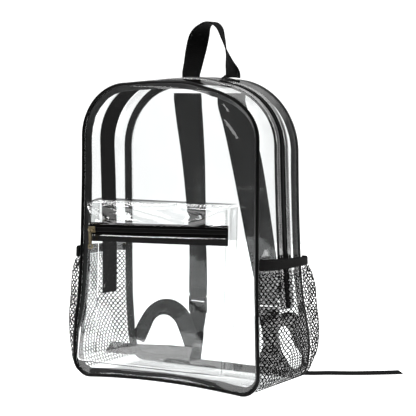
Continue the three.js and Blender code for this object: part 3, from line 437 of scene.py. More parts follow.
def curve(points):
    """The same smooth curve as the solids', through points: a function of t from 0 to 1."""
    points = np.array(points, float)
    points = np.concatenate([[2 * points[0] - points[1]], points, [2 * points[-1] - points[-2]]])
    spans = len(points) - 3

    def at(t):
        place = np.clip(t, 0, 1) * spans
        k = np.minimum(place.astype(int), spans - 1)
        w = (place - k)[:, None]
        p0, p1, p2, p3 = (points[k + n] for n in range(4))
        pairs = ((p0, p1), (p1, p2), (p2, p3))
        d0, d1, d2 = (np.sqrt(np.linalg.norm(b - a, axis=-1))[:, None] for a, b in pairs)
        d1 = np.where(d1 < 1e-4, 1.0, d1)
        d0 = np.where(d0 < 1e-4, d1, d0)
        d2 = np.where(d2 < 1e-4, d1, d2)
        m1 = ((p1 - p0) / d0 - (p2 - p0) / (d0 + d1) + (p2 - p1) / d1) * d1
        m2 = ((p2 - p1) / d1 - (p3 - p1) / (d1 + d2) + (p3 - p2) / d2) * d1
        c2 = -3 * p1 + 3 * p2 - 2 * m1 - m2
        c3 = 2 * p1 - 2 * p2 + m1 + m2
        return p1 + m1 * w + c2 * w**2 + c3 * w**3

    return at


def ribbon_grid(at, across, width, steps, cols, shares=None):
    """Grid of points of a flat band along a route, and its normals."""
    t = np.linspace(0, 1, steps + 1)
    middle, lay = curve(at), curve(across)
    p = middle(t)
    tangent = unit(middle(t + 5e-4) - middle(t - 5e-4))
    side = lay(t)
    side = unit(side - tangent * np.sum(side * tangent, -1, keepdims=True))
    share = np.ones_like(t) if shares is None else np.interp(t, np.linspace(0, 1, len(shares)), shares)
    v = np.linspace(-0.5, 0.5, cols)
    grid = p[:, None] + side[:, None] * (v[None, :, None] * width * share[:, None, None])
    return grid, unit(np.cross(tangent, side))


def band(cols, thickness, roundness=0.35):
    """Thickness over a band's columns, thinner at its two edges."""
    v = np.abs(np.linspace(-1, 1, cols))
    return thickness * (1 - roundness * v**8)[None, :]


def stitches(name, rows, material, pitch=STITCH_PITCH, radius=STITCH_RADIUS):
    """Rows of short sewn threads. A row is a path of points and the direction its threads bow out in."""
    verts, faces = [], []
    sides = 5
    for path, normal in rows:
        run = distances(path)
        normal = np.broadcast_to(normal, path.shape)
        for start in np.arange(pitch / 2, run[-1] - STITCH_LENGTH, pitch):
            place = start + STITCH_LENGTH * np.array([0, 0.2, 0.5, 0.8, 1.0])
            points = sample(path, run, place)
            up = unit(sample(normal, run, place))
            side = unit(np.cross(points[-1] - points[0], up[2]))
            points = points + up * (radius * np.array([-0.4, 0.45, 0.8, 0.45, -0.4]))[:, None]
            base = len(verts)
            verts.append(points[0])
            for k in (1, 2, 3):
                for j in range(sides):
                    a = 2 * math.pi * j / sides
                    verts.append(points[k] + radius * (math.cos(a) * side + math.sin(a) * up[k]))
            verts.append(points[4])
            ring = [base + 1 + k * sides for k in range(3)]
            for j in range(sides):
                n = (j + 1) % sides
                faces.append((base, ring[0] + n, ring[0] + j))
                faces.append((base + 1 + 3 * sides, ring[2] + j, ring[2] + n))
                for k in range(2):
                    faces.append((ring[k] + j, ring[k] + n, ring[k + 1] + n, ring[k + 1] + j))
    piece(name, (verts, outward(verts, faces)), material, "webbing")


# Materials
def new_material(name):
    material = bpy.data.materials.new(name)
    material.use_nodes = True
    material.node_tree.nodes.clear()
    return material, material.node_tree


def node(tree, kind, **values):
    """A new node. A value sets a property or an input, and an output given as a value is linked."""
    made = tree.nodes.new("ShaderNode" + kind)
    for key, value in values.items():
        name = key.replace("_", " ")
        if isinstance(value, bpy.types.NodeSocket):
            tree.links.new(value, made.inputs[name])
        elif hasattr(made, key):
            setattr(made, key, value)
        else:
            made.inputs[name].default_value = value
    return made


def total(tree, operation, *terms, clamp=False):
    """Output of a sum of numbers and outputs."""
    made = node(tree, "Math", operation=operation, use_clamp=clamp)
    for socket, term in zip(made.inputs, terms):
        if isinstance(term, bpy.types.NodeSocket):
            tree.links.new(term, socket)
        else:
            socket.default_value = term
    return made.outputs["Value"]


def noise(tree, place, scale, detail, rough):
    return node(tree, "TexNoise", Vector=place, Scale=scale, Detail=detail, Roughness=rough).outputs["Fac"]


def ramp(tree, share, low, high, first, last):
    """Colour that goes from the first to the last as a share goes from low to high."""
    made = node(tree, "ValToRGB", Fac=share)
    for element, position, colour in zip(made.color_ramp.elements, (low, high), (first, last)):
        element.position = position
        element.color = colour
    return made.outputs["Color"]


def mixed(tree, share, first, second):
    made = node(tree, "MixShader", Fac=share)
    tree.links.new(first, made.inputs[1])
    tree.links.new(second, made.inputs[2])
    return made.outputs["Shader"]


def grey(value, tint=(1, 1, 1)):
    return (value * tint[0], value * tint[1], value * tint[2], 1)


COOL = (0.995, 1, 1)


def vinyl(name, clear=0.985, gloss=1.9, ripple=0.25, haze=0.0, rough=0.045):
    """Clear vinyl: it lets the view through and mirrors more towards its edges."""
    material, tree = new_material(name)
    place = node(tree, "TexCoord").outputs["Object"]
    wide = noise(tree, place, 14.0, 2.0, 0.5)
    fine = noise(tree, place, 90.0, 3.0, 0.55)
    waves = node(tree, "Bump", Height=wide, Strength=ripple, Distance=0.004).outputs["Normal"]
    bump = node(tree, "Bump", Height=fine, Normal=waves, Strength=0.12, Distance=0.0006).outputs["Normal"]
    tone = ramp(tree, wide, 0.35, 0.75, grey(clear - 0.02, COOL), grey(clear, COOL))
    through = node(tree, "BsdfTransparent", Color=tone).outputs["BSDF"]
    shine = node(tree, "BsdfGlossy", Color=grey(0.96), Roughness=rough, Normal=bump).outputs["BSDF"]
    fresnel = node(tree, "Fresnel", IOR=1.46, Normal=bump).outputs["Fac"]
    facing = total(tree, "SUBTRACT", 1.0, node(tree, "NewGeometry").outputs["Backfacing"])
    mirrored = total(tree, "MULTIPLY_ADD", fresnel, gloss, haze)
    share = total(tree, "MULTIPLY", mirrored, facing, clamp=True)
    node(tree, "OutputMaterial", Surface=mixed(tree, share, through, shine))
    return material


def cloth(name, dark, light, pitch, kind="RIBS", depth=0.5, rough=0.75, mirror=0.06):
    """Woven or ribbed cloth, by the distances along and across the piece in millimetres."""
    material, tree = new_material(name)
    place = node(tree, "UVMap", uv_map="UVMap").outputs["UV"]
    period = 2 * math.pi / (20 * pitch)
    if kind == "TWILL":
        weave = (("DIAGONAL", period * 2), ("X", period * 0.5))
    else:
        weave = (("X", period), ("Y", period * 0.8))
    warp, weft = (
        node(tree, "TexWave", Vector=place, bands_direction=way, Scale=scale).outputs["Fac"]
        for way, scale in weave
    )
    threads = total(tree, "MULTIPLY_ADD", weft, 0.45, warp)
    relief = total(tree, "MULTIPLY_ADD", noise(tree, place, 2.2, 2.0, 0.6), 0.5, threads)
    bump = node(tree, "Bump", Height=relief, Strength=depth, Distance=0.0004)
    cloud = noise(tree, place, 0.12, 4.0, 0.6)
    share = total(tree, "MULTIPLY_ADD", cloud, 0.5, total(tree, "MULTIPLY", threads, 0.5))
    shader = node(
        tree, "BsdfPrincipled", Base_Color=ramp(tree, share, 0.25, 1.0, grey(dark), grey(light)),
        Roughness=rough, Specular_IOR_Level=mirror, Normal=bump.outputs["Normal"],
    )
    node(tree, "OutputMaterial", Surface=shader.outputs["BSDF"])
    return material


def solid(name, dark, light, rough=0.3, rough_more=0.15, metal=0.0, mirror=0.5, scale=60.0, depth=0.15):
    """Plastic, coated vinyl or metal, with faint marks."""
    material, tree = new_material(name)
    place = node(tree, "TexCoord").outputs["Object"]
    cloud = noise(tree, place, scale, 4.0, 0.6)
    grain = noise(tree, place, scale * 12, 2.0, 0.5)
    roughness = node(tree, "MapRange", Value=grain, To_Min=rough, To_Max=rough + rough_more)
    bump = node(tree, "Bump", Height=grain, Strength=depth, Distance=0.0003)
    shader = node(
        tree, "BsdfPrincipled", Base_Color=ramp(tree, cloud, 0.3, 0.8, dark, light), Metallic=metal,
        Specular_IOR_Level=mirror, Roughness=roughness.outputs["Result"], Normal=bump.outputs["Normal"],
    )
    node(tree, "OutputMaterial", Surface=shader.outputs["BSDF"])
    return material


CLEAR = vinyl("clear_vinyl")
CLEAR_POCKET = vinyl("pocket_vinyl", clear=0.965, gloss=2.3, ripple=0.6)
CLEAR_HEM = vinyl("folded_vinyl", clear=0.94, gloss=2.2, ripple=0.6, haze=0.26, rough=0.2)
PIPING = solid("piping_vinyl", grey(0.0008), grey(0.002), rough=0.24, mirror=0.08)
SEAM = solid("seam_vinyl", grey(0.003), grey(0.008), rough=0.26, mirror=0.16)
WARM = (1, 1, 0.97)
BINDING = solid("binding_vinyl", grey(0.008), grey(0.016, WARM), 0.14, 0.1, mirror=0.6, scale=30.0)
TAPE = cloth("zip_tape", 0.001, 0.004, 0.9, depth=0.4, rough=0.7, mirror=0.03)
COIL = solid("zip_coil", grey(0.001), grey(0.003), rough=0.35, mirror=0.08, scale=200.0)
WEBBING = cloth("webbing", 0.0015, 0.007, 1.5, kind="TWILL", depth=0.7, rough=0.72)
STRAP = cloth("strap_cloth", 0.014, 0.026, 0.8, depth=0.4, rough=0.8)
ELASTIC = cloth("mouth_binding", 0.002, 0.007, 1.1, depth=0.6, rough=0.72)
NET = solid("net_thread", grey(0.001), grey(0.003), rough=0.6, mirror=0.04, scale=120.0)
THREAD = solid("sewing_thread", grey(0.004), grey(0.012), rough=0.5, mirror=0.1, scale=400.0)
# Pale grey thread: painted highlight, standing in for the glints of the puckered vinyl beside the dark stitches
# along the main zip.
GLINT_PAINTED_THREAD = solid("zip_stitches", grey(0.25), grey(0.45), rough=0.35, scale=400.0)
PLASTIC = solid("moulded_plastic", grey(0.003), grey(0.007), rough=0.32, mirror=0.25, scale=90.0)
GUNMETAL = solid("dark_metal", grey(0.02), grey(0.06), rough=0.3, metal=1.0, scale=150.0)
BRASS = solid("brass", (0.2, 0.165, 0.1, 1), (0.42, 0.35, 0.22, 1), rough=0.25, metal=1.0, scale=150.0)


# Body of the bag
RING = np.arange(0, COUNT, 1 / 6)


def creases(x, z, folds):
    """Sum of soft ridges, each along a line (x0, z0, x1, z1) with a height and a half width."""
    total = np.zeros_like(x)
    for x0, z0, x1, z1, height, width in folds:
        run = np.hypot(x1 - x0, z1 - z0)
        ux, uz = (x1 - x0) / run, (z1 - z0) / run
        t = ((x - x0) * ux + (z - z0) * uz) / run
        d = (x - x0) * uz - (z - z0) * ux
        fade = ease(t / 0.2 + 0.2) * ease((1 - t) / 0.2 + 0.2)
        total += height * fade * np.exp(-np.abs(d / width) ** 1.5)
    return total


def panel(seam, margin, rows, cols, relief):
    """Grid over the front or back panel, a margin inside its seam."""
    s = np.linspace(BASE_END, ARC_END, rows)
    at, out, _ = seam_at(seam, s)
    right = at - out * margin
    at, out, _ = seam_at(seam, COUNT - s)
    left = at - out * margin
    t = np.linspace(0, 1, cols)[None, :]
    x = lerp(left[:, :1], right[:, :1], t)
    flat = lerp(left[:, 2:], right[:, 2:], t)
    arch = 1 - (2 * t - 1) ** 2
    low = np.maximum(0, 1 - (flat - PIPING_RADIUS) / FADE)
    high = np.maximum(0, 1 - (seam["top"] - flat) / FADE)
    z = flat + arch * (seam["bow"] * low + TOP_CROWN * high)
    ends = np.minimum(s - BASE_END, ARC_END - s)[:, None]
    edge = np.minimum(np.minimum(t, 1 - t) * 6, 1) * np.minimum(ends / 2, 1)
    y = seam_depth(seam, z) - seam["side"] * relief(x, z) * np.clip(edge, 0, 1)
    return np.stack([x, y, z], -1)


def front_relief(x, z):
    """How far the slack front panel lies back."""
    wave = 1.0 * np.sin(x / 23 + z / 61) + 0.8 * np.sin(z / 31 - x / 47 + 1.0)
    return 2.2 + wave + creases(x, z, [
        (70, 385, 118, 330, 3.5, 9), (95, 395, 120, 345, -3.0, 6), (60, 380, 100, 200, 2.6, 14),
        (86, 392, 99, 378, 3.0, 3.5), (95, 398, 104, 384, -2.2, 3.0),
    ])


def back_relief(x, z):
    return 1.2 * np.sin(x / 37 + z / 53) + 0.9 * np.sin(z / 41 + 2.0) + 0.5


front = panel(FRONT, PIPING_RADIUS + GAP, 110, 64, front_relief)
piece("front_vinyl", slab(front, VINYL), CLEAR, "vinyl", "front_panel")
back = panel(REAR, BINDING_WIDTH - BINDING_LIP + GAP, 90, 48, back_relief)
piece("back_vinyl", slab(back, VINYL), CLEAR, "vinyl", "back_panel")


def fading(grid, ends=0.12):
    """Thickness over a sheet of vinyl that thins out at its first and last rows."""
    thickness = np.full(grid.shape[:2], VINYL)
    thickness[[0, -1]] = ends
    return thickness


def gusset_grid(from_edge, to_edge, off, cols=9, ripple=0.0):
    """Grid over the zipped gusset between two edges, each given as its share of the depth."""
    s = np.linspace(SEAM_ABOVE, FAR_SEAM, STEPS * (FAR_SEAM - SEAM_ABOVE) + 1)[:, None]
    depth = gusset_depth(s)
    start, end = from_edge(s, depth), to_edge(s, depth)
    t = lerp(start, end, np.linspace(0, 1, cols)[None, :])
    lift = off(t)
    if ripple:
        inner = ease(np.minimum(t - start, end - t) * depth / 12)
        lift = lift + ripple * inner * (np.sin(s * 1.7 + t * 9) + 0.7 * np.sin(s * 4.3 - t * 14 + 1.3))
    return gusset(s, t, lift)


def zip_place(s):
    """Share of the gusset's depth at which the zip runs: farther back down the sides."""
    climb = (seam_at(FRONT, s)[0][..., 2] - SIDE_SEAM_HEIGHT) / (HEIGHT - SIDE_SEAM_HEIGHT)
    return lerp(ZIP_PLACE_SIDE, ZIP_PLACE_TOP, ease(climb))


def zip_share(offset):
    return lambda s, depth: zip_place(s) + offset / depth


def front_edge(s, depth):
    return (PIPING_RADIUS + GAP) / depth


def rear_edge(s, depth):
    return 1 - (BINDING_THICKNESS / 2 + GAP) / depth


ZIP_FRONT = zip_share(-ZIP_SLOT / 2)
ZIP_REAR = zip_share(ZIP_SLOT / 2)
strips = (("front", front_edge, ZIP_FRONT, 0.35), ("rear", ZIP_REAR, rear_edge, 0.3))
for end, from_edge, to_edge, ripple in strips:
    strip = gusset_grid(from_edge, to_edge, puff, cols=13, ripple=ripple)
    piece(f"gusset_vinyl_{end}", slab(strip, fading(strip)), CLEAR, "vinyl", f"gusset_{end}")


def base_grid():
    """Grid over the base gusset, with its bottom resting and two soft folds along it."""
    s = np.arange(COUNT - SEAM_BELOW, COUNT + SEAM_BELOW + 0.01, 1 / STEPS)[:, None]
    depth = gusset_depth(s)
    start, end = front_edge(s, depth), rear_edge(s, depth)
    t = lerp(start, end, np.linspace(0, 1, 40)[None, :])
    lift = lerp(seam_at(FRONT, s)[2], seam_at(REAR, s)[2], t)
    inner = ease(np.minimum(t - start, end - t) * depth / 14)
    along_bottom = (s - COUNT) / BASE_END
    folds = 1.6 * np.exp(-((t - 0.36 - 0.05 * along_bottom) * 16) ** 2) + np.exp(-((t - 0.68) * 22) ** 2)
    rest = (puff(t) / PUFF) * (PUFF + lift)
    return gusset(s, t, rest - inner * (0.3 + folds * (0.6 + 0.4 * np.sin(s * 1.3))))


base = base_grid()
piece("base_vinyl", slab(base, fading(base)), CLEAR, "vinyl", "base_gusset")

# Trim of the seams
angles = np.linspace(0, 2 * np.pi, 14, endpoint=False)
cord_section = np.stack([np.cos(angles), np.sin(angles)], -1) * PIPING_RADIUS
piece("front_cord", trim(FRONT, cord_section, RING, wobble=0.015), PIPING, "piping", "front_piping")
binding_middle = (BINDING_LIP - BINDING_WIDTH / 2, 0.0)
binding_section = rounded(BINDING_WIDTH / 2, BINDING_THICKNESS / 2, 0.9, binding_middle)
piece("rear_seam_binding", trim(REAR, binding_section, RING, wobble=0.01), BINDING, "piping", "rear_binding")

# The tape inside the front seam lies at 45 degrees, and its flat sides are cut into four.
slant = math.sqrt(0.5)
skew = SEAM_TAPE_THICKNESS * slant
near = (skew + math.sqrt(2 * (PIPING_RADIUS + GAP) ** 2 - skew**2)) / 2
far = near + SEAM_TAPE_WIDTH * slant
tape_section = [(-near, near - skew), (-near + skew, near), (-far + skew, far), (-far, far - skew)]
fine_section = []
for a, b in zip(tape_section, tape_section[1:] + tape_section[:1]):
    for t in (0.06, 0.35, 0.65, 0.94):
        fine_section.append((lerp(a[0], b[0], t), lerp(a[1], b[1], t)))
piece("front_seam_flange", trim(FRONT, fine_section, RING, wobble=0.02), SEAM, "piping", "front_seam_tape")

# Main zip
TAPE_OFF = PUFF - WALL / 2 - GAP - TAPE_THICKNESS / 2
COIL_OFF = TAPE_OFF + TAPE_THICKNESS / 2 + GAP + COIL_HEIGHT / 2

SEWN_TAPE = TAPE_THICKNESS * 0.7  # thickness of a tape that shows
tape = gusset_grid(zip_share(-TAPE_WIDTH / 2), zip_share(TAPE_WIDTH / 2), lambda t: TAPE_OFF, cols=15)
piece("main_tape", slab(tape, SEWN_TAPE), TAPE, "webbing", "main_zip_tape")

COIL_PITCH = 1.6
# Section of the coil: place across it, height
COIL_FORM = [
    (-1, 0.0), (-0.92, 0.55), (-0.55, 0.95), (0, 0.72), (0.55, 0.95), (0.92, 0.55), (1, 0.0), (0, -0.3),
]


def coil(middle, side, up, width, height):
    """Interlocked turns of a coil zip along a line of points."""
    run = distances(middle)
    place = np.arange(0, run[-1], COIL_PITCH / 4)
    at, side, up = (sample(values, run, place) for values in (middle, side, up))
    side, up = unit(side), unit(up)
    phase = place / COIL_PITCH * 2 * np.pi
    rings = []
    for v, rise in COIL_FORM:
        turn = 1 + 0.2 * np.cos(phase + (math.pi if v > 0 else 0)) * (abs(v) > 0.1)
        lift = (rise * turn - 0.5) * height if rise > 0 else np.full_like(place, -height * 0.45)
        rings.append(at + side * (v * width / 2) + up * lift[:, None])
    return tube(np.stack(rings, 1), loop=False)


s = np.linspace(SEAM_ABOVE, FAR_SEAM, 260)
middle = gusset(s, zip_place(s), COIL_OFF)
depth = gusset_depth(s)
side = gusset(s, zip_place(s) + 3 / depth, COIL_OFF) - gusset(s, zip_place(s) - 3 / depth, COIL_OFF)
up = gusset(s, zip_place(s), COIL_OFF + 1) - middle
piece("main_coil", coil(middle, side, up, COIL_WIDTH, COIL_HEIGHT), COIL, "coil", "main_zip_coil")

# The vinyl is folded double along both edges of the zip and sewn down in two rows.
HEM_OFF = PUFF + VINYL / 2 + 0.15 + VINYL / 4
HEM_START = ZIP_SLOT / 2
HEM_END = HEM_START + HEM_WIDTH
for end, a, b in (("front", -HEM_END, -HEM_START), ("rear", HEM_START, HEM_END)):
    hem = gusset_grid(zip_share(a), zip_share(b), lambda t: HEM_OFF, cols=7, ripple=0.12)
    piece(f"zip_hem_{end}", slab(hem, VINYL / 2), CLEAR_HEM, "vinyl")
s = np.linspace(SEAM_ABOVE + 0.1, FAR_SEAM - 0.1, 500)
depth = gusset_depth(s)
rows = []
for offset in (-HEM_START - 1.6, -HEM_END + 2, HEM_START + 1.6, HEM_END - 2):
    row = gusset(s, zip_place(s) + offset / depth, HEM_OFF + VINYL / 4)
    rows.append((row, gusset(s, zip_place(s) + offset / depth, HEM_OFF + 1.5) - row))
# These stitches are pale grey as painted highlight for the glints of the puckered vinyl; the real thread is dark.
stitches("main_zip_stitches", rows, GLINT_PAINTED_THREAD)

# Front pocket
POCKET_HEIGHT = POCKET_TOP - POCKET_BOTTOM
# height, left edge, depth
POCKET_FORM = [
    (0.0, 1.06, 1.0), (0.25, 1.02, 0.98), (0.37, 0.985, 0.97), (0.85, 0.94, 0.98), (0.96, 0.955, 1.0),
    (1.0, 0.98, 0.86),
]
pocket_left, pocket_depth = columns(POCKET_FORM)


def pocket_point(across, z, reach=1.0, off=0.0):
    """Points of the pocket's face: across from 0 on the left to 1, at height z."""
    across, z, reach, off = np.broadcast_arrays(across, z, reach, off)
    h = (z - POCKET_BOTTOM) / POCKET_HEIGHT
    left = -POCKET_WIDTH / 2 * pocket_left(h) + POCKET_CORNER
    x = lerp(left, POCKET_WIDTH / 2 - POCKET_CORNER, across)
    depth = lerp(POCKET_DEPTH_LEFT, POCKET_DEPTH_RIGHT, across) * pocket_depth(h)
    swell = POCKET_SWELL * np.sin(np.pi * across) * np.sin(np.pi * np.clip(h, 0, 1))
    y = seam_depth(FRONT, z) - lerp(WALL + GAP, depth + swell, reach) - off
    return np.stack([x, y, z], -1)


def zip_slope(across, z):
    """Rise of the pocket's zip towards the right, and less of it above and below."""
    near = np.maximum(0, 1 - np.abs(z - POCKET_ZIP_HEIGHT) / POCKET_SLOPE_REACH)
    return POCKET_ZIP_SLOPE * across * near


def pocket_grid(heights, reach, cols=64, off=0.0, relief=None):
    across = np.linspace(0, 1, cols)[None, :]
    z = np.asarray(heights, float)[:, None]
    z = z + zip_slope(across, z)
    grid = pocket_point(across, z, np.asarray(reach, float)[:, None], off)
    if relief:
        grid[..., 1] -= relief(grid[..., 0], grid[..., 2])
    return grid


def face_relief(x, z):
    wave = 0.7 * np.sin(x / 19 + z / 47) + 0.6 * np.sin(z / 27 - x / 63)
    return wave + creases(x, z, [
        (-112, 60, -60, 195, 1.6, 5), (-112, 40, -20, 60, 1.8, 6), (-105, 190, -70, 60, -1.4, 7),
        (20, 40, 108, 34, 1.8, 5), (60, 44, 110, 60, 1.6, 6), (-118, 32, 110, 36, 1.5, 4),
    ]) * ease((x + 122) / 15) * ease((118 - x) / 12) * ease((205 - z) / 25) * ease((z - 24) / 10)


def flap_relief(x, z):
    return creases(x, z, [
        (-108, 256, -60, 228, 5.4, 5), (-100, 252, -30, 240, -4.2, 4), (-40, 250, 40, 232, 4.2, 6),
        (110, 254, 40, 227, 5.4, 4), (104, 252, 58, 238, -4.2, 4), (20, 254, 80, 240, -3.4, 4),
        (-90, 232, 10, 229, 2.2, 3), (112, 240, 64, 226, -3.6, 4), (-114, 244, -84, 227, -3.6, 4),
    ]) * ease((z - 224) / 8) * ease((259 - z) / 5) * ease((x + 122) / 14) * ease((118 - x) / 10)


ZIP_LOW = POCKET_ZIP_HEIGHT - POCKET_ZIP_SLOT / 2
ZIP_HIGH = POCKET_ZIP_HEIGHT + POCKET_ZIP_SLOT / 2
foot = POCKET_BOTTOM + POCKET_HEIGHT * 0.02
turn = np.linspace(0, 1, 7) * np.pi / 2
low_z = np.concatenate([foot + 11 * (1 - np.cos(turn)), np.linspace(foot + 13, ZIP_LOW, 70)])
low_reach = np.concatenate([0.35 + 0.65 * np.sin(turn), np.ones(70)])
face = pocket_grid(low_z, low_reach, relief=face_relief)
piece("pocket_vinyl", slab(face, VINYL), CLEAR_POCKET, "vinyl", "pocket_face")
turn = np.linspace(0, 1, 8)[1:] * np.pi / 2
ROLL = 8.0  # radius of the flap's rolled top edge
roll_z = POCKET_TOP - ROLL
top_z = np.concatenate([np.linspace(ZIP_HIGH, roll_z, 22), roll_z + ROLL * np.sin(turn)])
top_reach = np.concatenate([np.ones(22), np.cos(turn)])
flap = pocket_grid(top_z, top_reach, relief=flap_relief)
piece("pocket_flap", slab(flap, VINYL), CLEAR_POCKET, "vinyl", "pocket_upper")

for name, across, sideways in (("left", 0.0, -1), ("right", 1.0, 1)):
    z = POCKET_BOTTOM + POCKET_HEIGHT * np.linspace(0.05, 0.985, 60)
    t = np.linspace(0, 1, 12)
    x = np.full_like(z, sideways * POCKET_WIDTH / 2)
    base = np.stack([x, seam_depth(FRONT, z) - WALL - GAP, z], -1)
    edge = pocket_point(across, z) + np.array([sideways * POCKET_CORNER, POCKET_CORNER / 2, 0])
    grid = lerp(base[:, None], edge[:, None], t[None, :, None])
    waves = 1.2 * np.sin(z / 17) + np.sin(z / 29 + 1)
    sag = np.sin(np.pi * t)[None, :] * waves[:, None]
    grid[..., 0] -= sideways * (0.8 + sag)
    piece(f"pocket_wall_{name}", slab(grid, VINYL), CLEAR_POCKET, "vinyl", f"pocket_side_{name}")

POCKET_TAPE_OFF = -WALL / 2 - GAP - TAPE_THICKNESS / 2
POCKET_COIL_OFF = POCKET_TAPE_OFF + TAPE_THICKNESS / 2 + GAP + COIL_HEIGHT / 2
heights = np.linspace(ZIP_LOW - POCKET_TAPE_BELOW, ZIP_HIGH + POCKET_TAPE_ABOVE, 13)
tape = np.swapaxes(pocket_grid(heights, np.ones(13), cols=90, off=POCKET_TAPE_OFF), 0, 1)
piece("pocket_tape", slab(tape, SEWN_TAPE), TAPE, "webbing", "pocket_zip_tape")
across = np.linspace(0, 1, 120)
z = POCKET_ZIP_HEIGHT + POCKET_ZIP_SLOPE * across
middle = pocket_point(across, z, 1.0, POCKET_COIL_OFF)
upright = np.broadcast_to((0.0, 0.0, 1.0), middle.shape)
forward = np.broadcast_to((0.0, -1.0, 0.0), middle.shape)
teeth = coil(middle, upright, forward, COIL_WIDTH, COIL_HEIGHT)
piece("pocket_coil", teeth, COIL, "coil", "pocket_zip_coil")

rows = []
for height in (ZIP_LOW - 2, ZIP_HIGH + 2):
    z = height + zip_slope(across, np.full_like(across, height))
    rows.append((pocket_point(across, z, 1.0, VINYL / 2), (0.0, -1.0, 0.0)))
stitches("pocket_zip_stitches", rows, THREAD)

# Seams of the pocket: across and height at both ends, reach, off, direction and number of points
POCKET_SEAMS = [
    ((0.01, 0.99), (POCKET_TOP - 3, POCKET_TOP - 3), 0.62, 0.6, (0.0, -0.8, 0.6), 120),
    ((0.99, 0.99), (POCKET_BOTTOM + 12, POCKET_TOP - 6), 1.0, 0.0, (0.0, -1.0, 0.0), 160),
    ((0.01, 0.01), (POCKET_BOTTOM + 12, POCKET_TOP - 6), 1.0, 0.0, (0.0, -1.0, 0.0), 160),
    ((0.02, 0.98), (foot + 3, foot + 3), 0.86, 0.4, (0.0, -0.9, -0.4), 120),
]
rows = []
for ends, heights, reach, off, direction, count in POCKET_SEAMS:
    seam = pocket_point(np.linspace(*ends, count), np.linspace(*heights, count), reach, VINYL / 2 + off)
    rows.append((seam, direction))
stitches("pocket_stitches", rows, THREAD, radius=0.5)

# Net pockets
# height, swell
NET_FORM = [(0.0, 0.0), (0.1, 0.28), (0.3, 0.72), (0.55, 0.95), (0.8, 1.0), (0.93, 0.86), (1.0, 0.62)]
(net_full,) = columns(NET_FORM)
NET_SEAT = PUFF + WALL / 2 + GAP + NET_THICKNESS / 2
fine_s = np.linspace(BASE_END, ARC_END - 0.2, 900)
fine_z = outline(REAR, fine_s)[0][:, 2]
# Soft folds of a net: place round it, slant, half width, depth, how fast it grows from the foot
NET_FOLDS = [
    (0.24, 0.05, 0.035, -3.2, 3), (0.32, 0.06, 0.03, 2.0, 3), (0.62, -0.04, 0.05, -2.0, 2),
    (0.78, 0.03, 0.04, -2.4, 2),
]
GATHERS = 17


def net_share(t):
    return lerp(NET_START, NET_END, t)


def net_point(side, z, t, swell, off):
    """Points that bulge off the gusset at height z and share t of its depth."""
    s = np.interp(z, fine_z, fine_s)
    u = (t - NET_LEAN) / np.where(t < NET_LEAN, NET_LEAN - NET_START, 1 - NET_LEAN)
    bulge = swell * np.maximum(0, 1 - np.abs(u) ** NET_ROUNDNESS) ** (1 / NET_ROUNDNESS)
    p = gusset(s, t, off + bulge)
    p[..., 0] *= side
    return p


def net_line(side, level, count, full):
    """Points round a net at one height, and their distances."""
    t = np.linspace(0, 1, count)
    line = net_point(side, np.full_like(t, level), net_share(t), NET_SWELL[side] * full, NET_SEAT)
    return line, distances(line)


def outwards(normal, side):
    """Normals of a side pocket, turned away from the bag."""
    return normal * np.sign(normal[:, :1] * side + 1e-9)


def net_surface(side, a, h):
    """Points of a net pocket: a is the share of the way round it, by length, and h of its height."""
    points = np.zeros((*a.shape, 3))
    for level in np.unique(np.round(h, 6)):
        line, run = net_line(side, lerp(NET_FOOT, NET_TOP, level), 240, net_full(level))
        here = np.isclose(h, level, atol=2e-6)
        share = a[here]
        place = share * run[-1]
        at = sample(line, run, place)
        ahead = sample(line, run, place + 1) - sample(line, run, place - 1)
        normal = outwards(unit(np.cross(ahead, np.array([0.0, 0.0, 1.0]))), side)
        inner = ease(share / 0.12) * ease((1 - share) / 0.12)
        folds = sum(
            depth * np.exp(-(((share - middle - slant * (level - 0.5)) / wide) ** 2)) * ease(level * growth)
            for middle, slant, wide, depth, growth in NET_FOLDS
        )
        gather = 0.9 * ease((level - 0.75) / 0.25) * np.sin(share * 2 * np.pi * GATHERS)
        points[here] = at + normal * ((folds + gather) * inner)[:, None]
    return points


def net_mesh(side):
    """A sheet of meshes, each a diamond with short upright sides and a hole."""
    width = net_line(side, NET_WIDEST, 200, 1.0)[1][-1]
    height = (NET_TOP - NET_FOOT) * 1.03
    tip, neck = 6, 1
    pitch = tip + neck
    across = int(round(width / NET_CELL))
    rows = int(round(height / (NET_CELL * pitch / (2 * tip))))
    corners = [(0, tip), (-1, neck), (-1, -neck), (0, -tip), (1, -neck), (1, neck)]
    key, points, cells = {}, [], []
    for j in range(rows + 1):
        for i in range(across + 1):
            centre = (2 * i + j % 2, pitch * j)
            if centre[0] > 2 * across:
                continue
            cell = []
            for dx, dy in corners:
                x = min(max(centre[0] + dx, 0), 2 * across)
                y = min(max(centre[1] + dy, 0), pitch * rows)
                if (x, y) not in key:
                    key[(x, y)] = len(points)
                    points.append((x / (2 * across), y / (pitch * rows)))
                cell.append(key[(x, y)])
            cells.append([c for k, c in enumerate(cell) if c != cell[k - 1]])
    flat = np.array(points)
    outer = net_surface(side, flat[:, 0], flat[:, 1])
    normal = np.zeros_like(outer)
    for cell in cells:
        p = outer[cell]
        n = np.cross(p[len(cell) // 2] - p[0], p[-1] - p[1])
        normal[cell] += n / max(np.linalg.norm(n), 1e-9)
    normal = outwards(unit(normal), side)
    half = NET_THREAD / 2
    verts = [*(outer + normal * half), *(outer - normal * half)]
    size = len(outer)
    faces, used = [], set()
    for cell in cells:
        p = outer[cell]
        middle, n = p.mean(0), unit(normal[cell].mean(0))
        inner = middle + (p - middle) * NET_HOLE
        base = len(verts)
        verts.extend(inner + n * half * 0.6)
        verts.extend(inner - n * half * 0.6)
        count = len(cell)
        for k in range(count):
            m = (k + 1) % count
            a, b = cell[k], cell[m]
            faces.append((a, b, base + m, base + k))
            faces.append((size + b, size + a, base + count + k, base + count + m))
            faces.append((base + k, base + m, base + count + m, base + count + k))
            used.add((a, b))
    for a, b in sorted(used):
        if (b, a) not in used:
            faces.append((b, a, size + a, size + b))
    verts = np.array(verts)
    return verts, outward(verts, faces)


